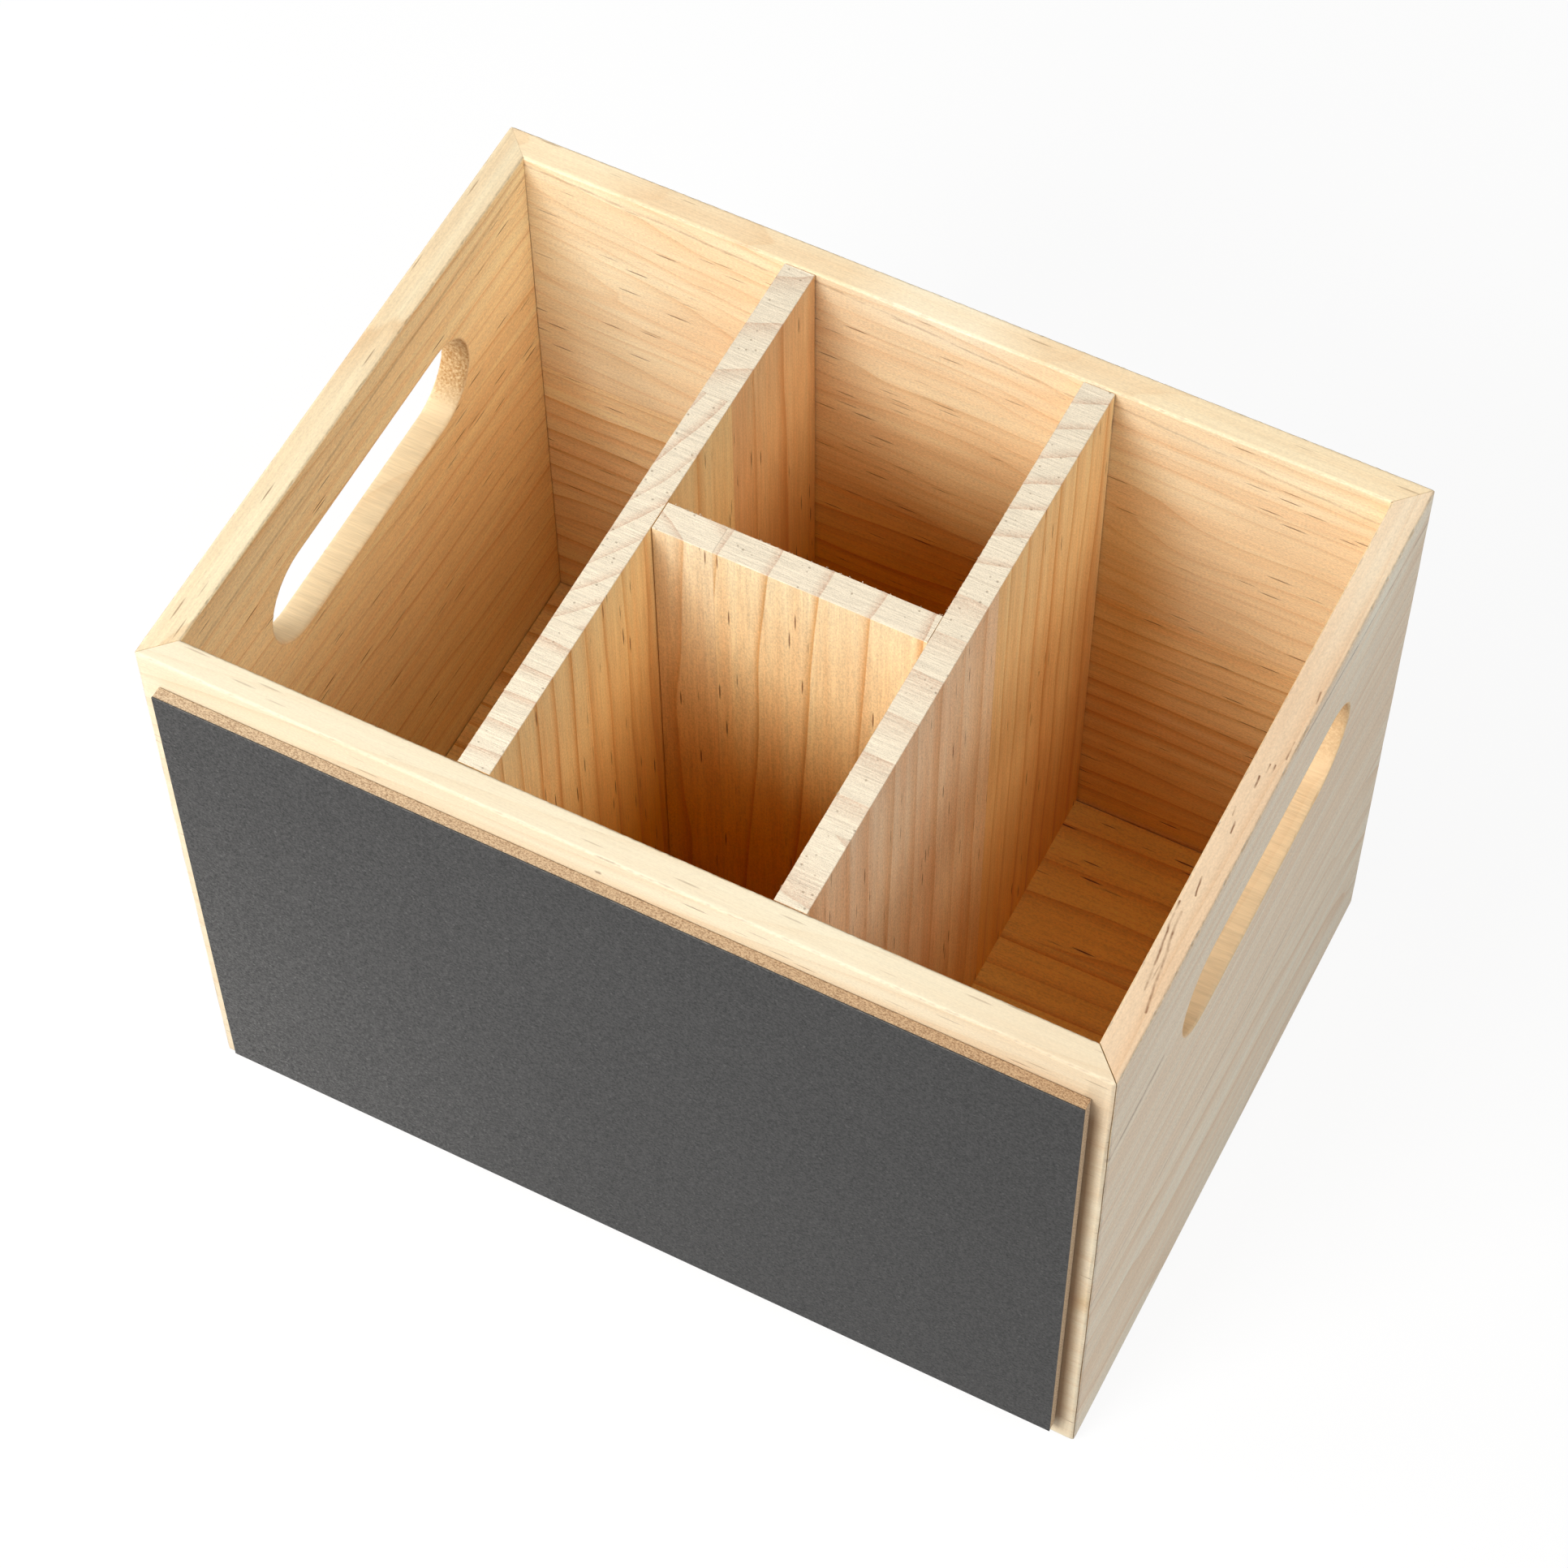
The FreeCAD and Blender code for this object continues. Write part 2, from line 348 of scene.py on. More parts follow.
def planedPine(name, withLines):
    # Radiata pine, planed and lightly sanded, unfinished: pale straw wood with soft orange
    # summer-wood lines, hair-fine fibre lines, and short dark resin canals along the grain.
    material, tree = newMaterial(name)
    late = addNode(tree, "ShaderNodeGroup", node_tree=rings).outputs["Late"]
    fibre, habit, nature, spring = (
        addNode(tree, "ShaderNodeAttribute", attribute_name=attribute).outputs["Vector"]
        for attribute in ("fibre", "habit", "nature", "spring"))
    seam, worn = (addNode(tree, "ShaderNodeAttribute", attribute_name=attribute).outputs["Fac"]
                  for attribute in ("seam", "worn"))
    # nature: how many resin canals, how sandy the surface is, how much of it grew pinker
    canals, sandy, pink = addNode(tree, "ShaderNodeSeparateXYZ", {0: nature}).outputs
    # plain is low on boards with hardly any summer wood, which are even all over
    summer = addNode(tree, "ShaderNodeSeparateXYZ", {0: habit})
    plain = addNode(tree, "ShaderNodeMath", {0: summer, 1: 0.4}, operation="MINIMUM")

    # pink and straw patches 17 mm across and 70 mm long
    patch = grainPattern(tree, fibre, (0.06, 0.06, 0.014), Detail=4.0)
    patch = addNode(tree, "ShaderNodeMapRange", {"Value": patch, "From Min": 0.38,
                                                 "From Max": 0.62})
    patch = addNode(tree, "ShaderNodeMath", {0: patch, 1: pink}, operation="MULTIPLY")
    tint = addNode(tree, "ShaderNodeMix", {0: patch, 6: (1, 1, 1, 1),
                                           7: hexColor(pine["pinkPatch"])}, data_type="RGBA")
    shade = addNode(tree, "ShaderNodeMix", {0: late, 6: (1, 1, 1, 1),
                                            7: hexColor(pine["late"])}, data_type="RGBA")
    color = addNode(tree, "ShaderNodeVectorMath", {0: spring, 1: tint.outputs[2]},
                    operation="MULTIPLY")
    color = addNode(tree, "ShaderNodeVectorMath", {0: color, 1: shade.outputs[2]},
                    operation="MULTIPLY")
    # fibre lines 0.8 mm and 0.4 mm wide, and sanded pores like grains of sand
    broad, fine, pores = (
        grainPattern(tree, fibre, perMm, Detail=2.0, Roughness=0.65)
        for perMm in ((1.2, 1.2, 0.03), (2.5, 2.5, 0.12), (2.7, 2.7, 1.3)))
    lines = addNode(tree, "ShaderNodeMath", {0: broad, 1: fine}, operation="ADD")
    light = addNode(tree, "ShaderNodeMapRange", {"Value": lines, "From Min": 0.75,
                                                 "From Max": 1.25, "To Min": -0.26,
                                                 "To Max": 0.17})
    light = addNode(tree, "ShaderNodeMath", {0: light, 1: plain, 2: 1.0},
                    operation="MULTIPLY_ADD")
    grit = addNode(tree, "ShaderNodeMapRange", {"Value": pores, "From Min": 0.3,
                                                "From Max": 0.7, "To Min": -0.2,
                                                "To Max": 0.15})
    light = addNode(tree, "ShaderNodeMath", {0: grit, 1: sandy, 2: light},
                    operation="MULTIPLY_ADD")
    color = addNode(tree, "ShaderNodeVectorMath", {0: color, "Scale": light},
                    operation="SCALE")
    # orange and straw streaks 4 mm wide and far longer
    streaky = grainPattern(tree, fibre, (0.24, 0.24, 0.006), Detail=1.5)
    warm = addNode(tree, "ShaderNodeMapRange", {"Value": streaky, "From Min": 0.34,
                                                "From Max": 0.66, "To Min": -1.0})
    warm = addNode(tree, "ShaderNodeMath", {0: warm, 1: plain}, operation="MULTIPLY")
    warm = addNode(tree, "ShaderNodeVectorMath", {0: pine["orangeStreak"], "Scale": warm},
                   operation="SCALE")
    warm = addNode(tree, "ShaderNodeVectorMath", {0: (1, 1, 1), 1: warm},
                   operation="SUBTRACT")
    color = addNode(tree, "ShaderNodeVectorMath", {0: color, 1: warm}, operation="MULTIPLY")
    # resin canals: dark streaks about 0.4 mm wide and 4 to 8 mm long
    cell = addNode(tree, "ShaderNodeVectorMath", {0: fibre, 1: (0.62, 0.62, 0.042)},
                   operation="MULTIPLY")
    canal = addNode(tree, "ShaderNodeTexVoronoi", {"Vector": cell, "Scale": 1.0})
    near = addNode(tree, "ShaderNodeMapRange", {"Value": canal.outputs["Distance"],
                                                "From Min": 0.09, "From Max": 0.17,
                                                "To Min": 1.0, "To Max": 0.0})
    lot, depth = addNode(tree, "ShaderNodeSeparateColor",
                         {0: canal.outputs["Color"]}).outputs[:2]
    # bands 10 mm across and 125 mm long hold many canals or few
    band = grainPattern(tree, fibre, (0.1, 0.1, 0.008), Detail=1.0)
    band = addNode(tree, "ShaderNodeMapRange", {"Value": band, "From Min": 0.4,
                                                "From Max": 0.62, "To Min": 0.1,
                                                "To Max": 1.2})
    band = addNode(tree, "ShaderNodeMath", {0: band, 1: canals}, operation="MULTIPLY")
    chosen = addNode(tree, "ShaderNodeMath", {0: lot, 1: band}, operation="LESS_THAN")
    streak = addNode(tree, "ShaderNodeMath", {0: near, 1: chosen}, operation="MULTIPLY")
    dark = addNode(tree, "ShaderNodeMapRange", {"Value": depth, "To Min": 0.4, "To Max": 1.0})
    dark = addNode(tree, "ShaderNodeMath", {0: streak, 1: dark}, operation="MULTIPLY")
    # pale boards have faint canals
    faint = addNode(tree, "ShaderNodeMath", {0: plain, 1: 2.0, 2: 0.3},
                    operation="MULTIPLY_ADD")
    dark = addNode(tree, "ShaderNodeMath", {0: dark, 1: faint}, operation="MULTIPLY")
    if withLines:
        dark = addNode(tree, "ShaderNodeMath", {0: dark, 1: resinMask(tree)},
                       operation="MAXIMUM")
    color = addNode(tree, "ShaderNodeMix", {0: dark, 6: color.outputs[0],
                                            7: hexColor(pine["canal"])}, data_type="RGBA")
    glue = addNode(tree, "ShaderNodeMath", {0: seam, 1: 0.3}, operation="MULTIPLY")
    color = addNode(tree, "ShaderNodeMix", {0: glue, 6: color.outputs[2],
                                            7: hexColor(pine["seam"])}, data_type="RGBA")
    # handled arrises are a little darker: partly wear, partly painted shade that keeps a light
    # line off the rounded arrises
    wearAndShade = addNode(tree, "ShaderNodeMath", {0: worn, 1: -0.3, 2: 1.0},
                      operation="MULTIPLY_ADD")
    color = addNode(tree, "ShaderNodeVectorMath", {0: color.outputs[2], "Scale": wearAndShade},
                    operation="SCALE")

    relief = addNode(tree, "ShaderNodeMath", {0: lines, 1: dark}, operation="SUBTRACT")
    bump = addNode(tree, "ShaderNodeBump", {"Height": relief, "Strength": 0.3,
                                            "Distance": 0.00015})
    rough = addNode(tree, "ShaderNodeMapRange", {"Value": late,
                                                 "To Min": pine["roughness"],
                                                 "To Max": pine["roughness"] - 0.12})
    skin = addNode(tree, "ShaderNodeBsdfPrincipled",
                   {"Base Color": color.outputs[0], "Roughness": rough, "Normal": bump,
                    "IOR": pine["ior"]})
    addNode(tree, "ShaderNodeOutputMaterial", {"Surface": skin})
    return material


def sawnPine():
    # The same pine cross-cut with a circular saw: chalky pale end grain, ring bands pinkish
    # brown, fine saw scratches running across, open resin canals as dark dots.
    material, tree = newMaterial("sawnPineEnd")
    late, edge = addNode(tree, "ShaderNodeGroup", node_tree=rings).outputs
    fibre = addNode(tree, "ShaderNodeAttribute", attribute_name="fibre").outputs["Vector"]
    seam = addNode(tree, "ShaderNodeAttribute", attribute_name="seam").outputs["Fac"]
    # summer wood breaks into flecks 0.5 mm across within each band
    thin = grainPattern(tree, fibre, (1.9, 1.9, 0.3), Detail=2.0)
    thin = addNode(tree, "ShaderNodeMapRange", {"Value": thin, "From Min": 0.3,
                                                "From Max": 0.7, "To Min": 0.4,
                                                "To Max": 1.25})
    band = addNode(tree, "ShaderNodeMath", {0: late, 1: 0.6}, operation="POWER")
    band = addNode(tree, "ShaderNodeMath", {0: band, 1: thin}, operation="MULTIPLY")
    band = addNode(tree, "ShaderNodeMath", {0: edge, 1: 0.15, 2: band},
                   operation="MULTIPLY_ADD", use_clamp=True)
    color = addNode(tree, "ShaderNodeMix",
                    {0: band, 6: hexColor(pine["sawnEarly"]),
                     7: hexColor(pine["sawnLate"])}, data_type="RGBA")
    # crushed cells 0.4 mm across, under scratches 0.5 mm apart and some 10 mm long:
    # along, across and slanting
    relief = grainPattern(tree, fibre, (2.4, 2.4, 2.4), Detail=2.0, Roughness=0.8)
    for angle, amount in ((0.0, 0.8), (1.5708, 0.8), (0.62, 0.7)):  # radians, depth
        turned = addNode(tree, "ShaderNodeMapping", {"Vector": fibre, "Rotation": (0, 0, angle),
                                                     "Scale": (0.1, 1.9, 0.5)})
        scratch = addNode(tree, "ShaderNodeTexNoise", {"Vector": turned, "Scale": 1.0,
                                                       "Detail": 2.0, "Roughness": 0.7})
        relief = addNode(tree, "ShaderNodeMath", {0: scratch, 1: amount, 2: relief},
                         operation="MULTIPLY_ADD")
    light = addNode(tree, "ShaderNodeMapRange", {"Value": relief, "From Min": 1.3,
                                                 "From Max": 2.0, "To Min": 0.8,
                                                 "To Max": 1.1})
    color = addNode(tree, "ShaderNodeVectorMath", {0: color.outputs[2], "Scale": light},
                    operation="SCALE")
    # open canals 0.3 to 0.8 mm across
    cell = addNode(tree, "ShaderNodeVectorMath", {0: fibre, 1: (0.5, 0.5, 0.02)},
                   operation="MULTIPLY")
    canal = addNode(tree, "ShaderNodeTexVoronoi", {"Vector": cell, "Scale": 1.0})
    near = addNode(tree, "ShaderNodeMapRange", {"Value": canal.outputs["Distance"],
                                                "From Min": 0.08, "From Max": 0.2,
                                                "To Min": 1.0, "To Max": 0.0})
    lot = addNode(tree, "ShaderNodeSeparateColor", {0: canal.outputs["Color"]})
    chosen = addNode(tree, "ShaderNodeMath", {0: lot, 1: 0.3}, operation="LESS_THAN")
    dot = addNode(tree, "ShaderNodeMath", {0: near, 1: chosen}, operation="MULTIPLY")
    joint = addNode(tree, "ShaderNodeMath", {0: seam, 1: 0.35}, operation="MULTIPLY")
    dark = addNode(tree, "ShaderNodeMath", {0: dot, 1: 0.5}, operation="MULTIPLY")
    dark = addNode(tree, "ShaderNodeMath", {0: dark, 1: joint}, operation="MAXIMUM")
    color = addNode(tree, "ShaderNodeMix", {0: dark, 6: color.outputs[0],
                                            7: hexColor(pine["sawnPore"])}, data_type="RGBA")
    height = addNode(tree, "ShaderNodeMath", {0: relief, 1: dot}, operation="SUBTRACT")
    bump = addNode(tree, "ShaderNodeBump", {"Height": height, "Strength": 0.5,
                                            "Distance": 0.00025})
    skin = addNode(tree, "ShaderNodeBsdfPrincipled",
                   {"Base Color": color.outputs[2], "Roughness": 0.8, "Normal": bump,
                    "IOR": pine["ior"]})
    addNode(tree, "ShaderNodeOutputMaterial", {"Surface": skin})
    return material


def milledPine():
    # Pine cut by a router bit in the grip slots: paler, with fine ripples across the board,
    # and torn brown end grain where the bit turned the slot's ends.
    material, tree = newMaterial("routedPine")
    late = addNode(tree, "ShaderNodeGroup", node_tree=rings).outputs["Late"]
    fibre, spring = (
        addNode(tree, "ShaderNodeAttribute", attribute_name=attribute).outputs["Vector"]
        for attribute in ("fibre", "spring"))
    torn = addNode(tree, "ShaderNodeAttribute", attribute_name="torn").outputs["Fac"]
    shade = addNode(tree, "ShaderNodeMix", {0: late, 6: (1, 1, 1, 1),
                                            7: hexColor(pine["late"])}, data_type="RGBA")
    color = addNode(tree, "ShaderNodeVectorMath", {0: spring, 1: shade.outputs[2]},
                    operation="MULTIPLY")
    # ripples 0.7 mm apart, drawn across the board
    ripple = grainPattern(tree, fibre, (0.12, 0.4, 1.5), Detail=2.0, Roughness=0.6)
    light = addNode(tree, "ShaderNodeMapRange", {"Value": ripple, "From Min": 0.3,
                                                 "From Max": 0.7, "To Min": 0.9,
                                                 "To Max": 1.06})
    color = addNode(tree, "ShaderNodeVectorMath", {0: color, "Scale": light},
                    operation="SCALE")
    # torn fibres: a coarse mix of dark pits and pale crushed ends, 0.7 mm across
    pits = grainPattern(tree, fibre, (1.4, 1.4, 1.4), Detail=3.0, Roughness=0.8)
    pitted = addNode(tree, "ShaderNodeMapRange", {"Value": pits, "From Min": 0.4,
                                                  "From Max": 0.72})
    rough = addNode(tree, "ShaderNodeMix", {0: pitted, 6: hexColor(pine["torn"]),
                                            7: hexColor(pine["fleck"])}, data_type="RGBA")
    color = addNode(tree, "ShaderNodeMix", {0: torn, 6: color.outputs[0],
                                            7: rough.outputs[2]}, data_type="RGBA")
    tear = addNode(tree, "ShaderNodeMath", {0: pits, 1: torn}, operation="MULTIPLY")
    height = addNode(tree, "ShaderNodeMath", {0: tear, 1: 3.0, 2: ripple},
                     operation="MULTIPLY_ADD")
    bump = addNode(tree, "ShaderNodeBump", {"Height": height, "Strength": 0.5,
                                            "Distance": 0.00025})
    skin = addNode(tree, "ShaderNodeBsdfPrincipled",
                   {"Base Color": color.outputs[2], "Roughness": 0.7, "Normal": bump,
                    "IOR": pine["ior"]})
    addNode(tree, "ShaderNodeOutputMaterial", {"Surface": skin})
    return material


wallPine = planedPine("planedPineWall", True)
innerPine = planedPine("planedPineInner", False)
sawnEnd = sawnPine()
routedPine = milledPine()
sawnFace, routedFace = 1, 2  # a board's material slots; the planed faces are 0
print("pine finishes made")


def spread(low, high, step):
    # evenly spaced places from low to high, both included
    count = max(1, round((high - low) / step))
    return [low + (high - low) * i / count for i in range(count + 1)]


def sectionLoop(board):
    # points round a board's cross-section, each (spot, wear, inward, side, edge):
    # side 0 is the outer face, 1 the top, 2 the inner face, 3 the foot, and a side's
    # radius and wear are those of the corner where it starts
    depth, height = board["depth"], board["height"]
    corners = [Vector((0, 0)), Vector((0, height)), Vector((depth, height)), Vector((depth, 0))]
    margin = board["margin"]
    loop = []
    for side in range(4):
        start, end = corners[side], corners[(side + 1) % 4]
        along = (end - start).normalized()
        across = (corners[side - 1] - start).normalized()
        radius = board["radii"][side]
        inward = (along + across).normalized()
        centre = start + (along + across) * radius
        steps = 6 if radius > 1 else 4  # round each corner
        for i in range(steps + 1):
            turn = math.pi / 2 * i / steps
            spot = centre - (across * math.sin(turn) + along * math.cos(turn)) * radius
            wear = board["wear"][side] * math.sin(math.pi * i / steps) ** 0.7
            loop.append((spot, wear, inward, side, True))
        low = radius + margin
        high = (end - start).length - board["radii"][(side + 1) % 4] - margin
        for distance in spread(low, high, board["rows"][side]):
            edge = distance in (low, high) or side in (1, 3)
            loop.append((start + along * distance, 0.0, inward, side, edge))
    return loop


def wearAt(place, wear):
    # depth in mm that handling and tools took from an arris at this place (mm)
    fine = noise.noise(place * 1.3)
    chip = max(0.0, noise.noise(place * 0.55 + Vector((7, 3, 1))) - 0.18)
    return max(0.0, wear * (0.35 + 0.5 * fine + 2.2 * chip))


dressing = {
    "mitreZone": 2.0,   # beyond a mitre, where the steps along a board still slant
    "squareZone": 1.2,  # the same at a square end
    "fullOpening": 30,  # a mitre's gap is widest this far below the rim
    "tipLength": 1.3,   # how much of a mitre's sharp tip gets chipped
    "tipDepth": 1.2,    # the same from the outer face inwards
    "tipGap": 0.3,      # widest gap at a mitre's tip
    "tipShare": 0.7,    # share of a chip's depth that goes along and into the board
    "fullWear": 0.15,   # depth of wear that looks darkest
}


def endX(board, share, zone, spot):
    # where a section's corner lies near an end; share is 1 or -1 at the end itself
    half = board["length"] / 2
    end = 0 if share < 0 else 1
    # some mitres open a little below the rim
    below = min(1, (board["height"] - spot.y) / dressing["fullOpening"])
    opened = board.get("opening", (0, 0))[end] * below
    reach = half - board["gaps"][end] - opened - (spot.x if board["mitred"] else 0)
    return math.copysign(half - zone + (reach - half + zone) * abs(share), share)


def roundUpright(point, x, spot, half, corner):
    # the caddy's rounded upright corner
    out = Vector((abs(x) - (half - corner), spot.x - corner))
    if out.x > 0 and out.y < 0 and out.length > corner:
        out *= corner / out.length
        point.x = math.copysign(half - corner + out.x, x)
        point.y = corner + out.y


def chipTip(board, point, x, spot):
    # knocks the sharp tip off a mitre and returns how deep the chip is
    half, tip = board["length"] / 2, dressing["tipLength"]
    endWear = board.get("endWear", (0, 0))[0 if x < 0 else 1]
    nearTip = 1 - max(0, half - dressing["tipGap"] - abs(x) - spot.x) / tip
    atTip = abs(x) > half - tip and spot.x < dressing["tipDepth"] and nearTip > 0
    if not endWear or not atTip:
        return 0.0
    chipped = wearAt(point + board["seed"] * 2, endWear) * min(1.0, nearTip)
    point.x -= math.copysign(chipped, x) * dressing["tipShare"]
    point.y += chipped * dressing["tipShare"]
    return chipped


def buildBoard(board):
    # lofts the cross-section along the board; both ends are mitred or square
    half = board["length"] / 2
    if board["mitred"]:
        zone = board["depth"] + dressing["mitreZone"]
        ramp = (1.0, 0.97, 0.93, 0.88, 0.8, 0.7, 0.55, 0.4, 0.2)
    else:
        zone = dressing["squareZone"]
        ramp = (1.0, 0.8, 0.4)
    stations = ([(-half + zone, -share) for share in ramp]
                + [(place, 0) for place in spread(-half + zone, half - zone, board["step"])]
                + [(half - zone, share) for share in reversed(ramp)])
    section = sectionLoop(board)
    corner = board.get("cornerRadius", 0)
    shape = bmesh.new()
    wornLayer = shape.verts.layers.float.new("worn")
    grid = []
    for place, share in stations:
        row = []
        for spot, wear, inward, *_ in section:
            x = endX(board, share, zone, spot) if share else place
            point = Vector((x, spot.x, spot.y))
            if corner:
                roundUpright(point, x, spot, half, corner)
            taken = wearAt(point + board["seed"], wear)
            point.y += inward.x * taken
            point.z += inward.y * taken
            taken += chipTip(board, point, x, spot)
            vertex = shape.verts.new(point)
            vertex[wornLayer] = min(1.0, taken / dressing["fullWear"])
            row.append(vertex)
        grid.append(row)
    for i in range(len(grid) - 1):
        inZone = stations[i][1] or stations[i + 1][1]
        for j, (*_, side, edge) in enumerate(section):
            k = (j + 1) % len(section)
            onStrip = edge and section[k][-1]
            if board.get("slot") and side in (0, 2) and not onStrip and not inZone:
                continue  # the faces round a grip slot are closed later
            shape.faces.new((grid[i][j], grid[i][k], grid[i + 1][k], grid[i + 1][j]))
    shape.faces.new(list(reversed(grid[0])))
    shape.faces.new(grid[-1])
    return shape


gripSlot = {
    "length": 95.5,
    "height": 29.0,
    "belowRim": 25.8,
    "ease": 0.4,      # sanded edge
    "step": 0.6,
    "wear": 0.25,
    "tear": 0.16,     # depth of the torn fibres at both round ends
    "ripple": 0.035,  # depth of the cutter marks
}


def slotOutline():
    # points round the slot in the face's plane, each with its way outwards
    radius = gripSlot["height"] / 2
    centre = box["height"] - gripSlot["belowRim"] - radius
    straight = gripSlot["length"] / 2 - radius
    step = gripSlot["step"]
    flat = spread(-straight, straight, step)
    turns = spread(-math.pi / 2, math.pi / 2, step / radius)
    outline = []
    for sign in (1, -1):  # lower run and right end, then upper run and left end
        outline += [(Vector((x, centre - sign * radius)), Vector((0, -sign)))
                    for x in (flat[:-1] if sign > 0 else flat[:0:-1])]
        for angle in turns[:-1]:
            way = Vector((math.cos(angle), math.sin(angle))) * sign
            outline.append((Vector((sign * straight, centre)) + way * radius, way))
    return outline


def cutSlot(shape, board):
    # lines a round-ended slot through the board and closes both faces round it
    depth, ease = board["depth"], gripSlot["ease"]
    outline = slotOutline()
    # mouth profile: depth, how far outside the slot's wall, wear
    mouth = [(0, ease + 0.3, 0), (0, ease, 0.1), (0.08, ease * 0.45, 1),
             (0.25, ease * 0.12, 1), (ease, 0, 0.5), (1.2, 0, 0)]
    rows = (mouth + [(place, 0, 0) for place in spread(2, depth - 2, 0.8)]
            + [(depth - place, out, wear) for place, out, wear in reversed(mouth)])
    loops = []
    for place, out, wear in rows:
        loop = []
        for spot, way in outline:
            endGrain = max(0.0, abs(way.x) - 0.45) / 0.55  # 1 at the slot's round ends
            rough = 0
            if out <= ease:
                rough = gripSlot["ripple"] * noise.noise(
                    Vector((spot.x * 1.1, spot.y * 1.1, 3 + place * 0.05)))
                rough += endGrain * gripSlot["tear"] * noise.noise(
                    Vector((spot.x * 1.7, spot.y * 1.7, place * 0.9)))
            rough += wearAt(Vector((spot.x, spot.y, place * 3)) + board["seed"],
                            wear * gripSlot["wear"])
            edge = spot + way * (out + rough)
            loop.append(shape.verts.new((edge.x, place, edge.y)))
        loops.append(loop)
    for a, b in zip(loops, loops[1:]):
        for i in range(len(outline)):
            j = (i + 1) % len(outline)
            shape.faces.new((a[i], b[i], b[j], a[j])).material_index = routedFace
    for level in (0, depth):
        rim = [e for e in shape.edges if len(e.link_faces) == 1
               and all(abs(v.co.y - level) < 1e-6 for v in e.verts)]
        bmesh.ops.triangle_fill(shape, use_beauty=True, use_dissolve=False, edges=rim)


def tornFibres():
    # Geometry Nodes: slivers of wood left standing along a sawn arris
    tree = bpy.data.node_groups.new("tornFibres", "GeometryNodeTree")
    tree.interface.new_socket("Geometry", in_out="OUTPUT", socket_type="NodeSocketGeometry")
    wanted = (("Start", "NodeSocketVector", (0, 0, 0)), ("End", "NodeSocketVector", (0, 1, 0)),
              ("Count", "NodeSocketInt", 200), ("Length", "NodeSocketFloat", 0.0007),
              ("Width", "NodeSocketFloat", 0.0001), ("Seed", "NodeSocketInt", 1),
              ("Wood", "NodeSocketMaterial", None))
    for name, kind, value in wanted:
        socket = tree.interface.new_socket(name, in_out="INPUT", socket_type=kind)
        if value is not None:
            socket.default_value = value
    given = addNode(tree, "NodeGroupInput").outputs
    line = addNode(tree, "GeometryNodeMeshLine",
                   {"Count": given["Count"], "Start Location": given["Start"],
                    "Offset": given["End"]}, mode="END_POINTS", count_mode="TOTAL")
    # each stands up to 0.5 mm from its place along the arris and is sunk into the wood
    jitter = addNode(tree, "FunctionNodeRandomValue",
                     {0: (-0.0001, -0.0005, -0.0006), 1: (0.0001, 0.0005, -0.0001),
                      "Seed": given["Seed"]}, data_type="FLOAT_VECTOR")
    moved = addNode(tree, "GeometryNodeSetPosition",
                    {"Geometry": line, "Offset": jitter.outputs[0]})
    sliver = addNode(tree, "GeometryNodeMeshCone",
                     {"Vertices": 4, "Side Segments": 2, "Radius Top": 0.0,
                      "Radius Bottom": given["Width"], "Depth": given["Length"]})
    # they hang over, lean either way by 0.6 radians and turn any way
    turns = addNode(tree, "FunctionNodeRandomValue",
                    {0: (2.4, -0.6, 0.0), 1: (3.9, 0.6, 6.28), "Seed": given["Seed"]},
                    data_type="FLOAT_VECTOR")
    sizes = addNode(tree, "FunctionNodeRandomValue",
                    {0: (0.4, 0.4, 0.25), 1: (1.5, 1.5, 1.6), "Seed": given["Seed"]},
                    data_type="FLOAT_VECTOR")
    copies = addNode(tree, "GeometryNodeInstanceOnPoints",
                     {"Points": moved, "Instance": sliver, "Rotation": turns.outputs[0],
                      "Scale": sizes.outputs[0]})
    real = addNode(tree, "GeometryNodeRealizeInstances", {"Geometry": copies})
    done = addNode(tree, "GeometryNodeSetMaterial",
                   {"Geometry": real, "Material": given["Wood"]})
    addNode(tree, "NodeGroupOutput", {"Geometry": done})
    return tree


fibreTree = tornFibres()


def addFibres(shape, edge):
    # joins the slivers along one arris to the board, as plain mesh in its sawn finish
    carrier = bpy.data.objects.new("fibres", bpy.data.meshes.new("fibres"))
    bpy.context.scene.collection.objects.link(carrier)
    modifier = carrier.modifiers.new("tornFibres", "NODES")
    modifier.node_group = fibreTree
    sockets = {item.name: item.identifier for item in fibreTree.interface.items_tree
               if item.item_type == "SOCKET" and item.in_out == "INPUT"}
    for name, value in edge.items():
        modifier[sockets[name]] = value
    modifier[sockets["Wood"]] = sawnEnd
    mesh = bpy.data.meshes.new_from_object(
        carrier.evaluated_get(bpy.context.evaluated_depsgraph_get()))
    bpy.data.objects.remove(carrier)
    mesh.transform(Matrix.Scale(1 / mm, 4))
    before = len(shape.faces)
    shape.from_mesh(mesh)
    shape.faces.ensure_lookup_table()
    for face in shape.faces[before:]:
        face.material_index = sawnFace


def splitStaves(shape, board):
    # cuts along each glue joint and either side of it, so that it can be told apart
    beside = 0.25
    axis = "XYZ".index(board["splitAxis"])
    normal = Vector((0, 0, 0))
    normal[axis] = 1
    for stave in board["staves"][:-1]:
        for offset in (-beside, 0, beside):
            bmesh.ops.bisect_plane(shape, geom=shape.verts[:] + shape.edges[:] + shape.faces[:],
                                   plane_co=normal * (stave["upTo"] + offset),
                                   plane_no=normal, dist=1e-5)


def meshValues(items, name, width, kind=float):
    values = numpy.zeros(len(items) * width, kind)
    items.foreach_get(name, values)
    return values.reshape(-1, width) if width > 1 else values


endless = 1e9  # where a board's last stave ends


def tintBy(colors, tone, share):
    # multiplies colours by a tone, as far as share says at each corner
    colors *= 1 + (numpy.array(tone) - 1) * share[:, None]


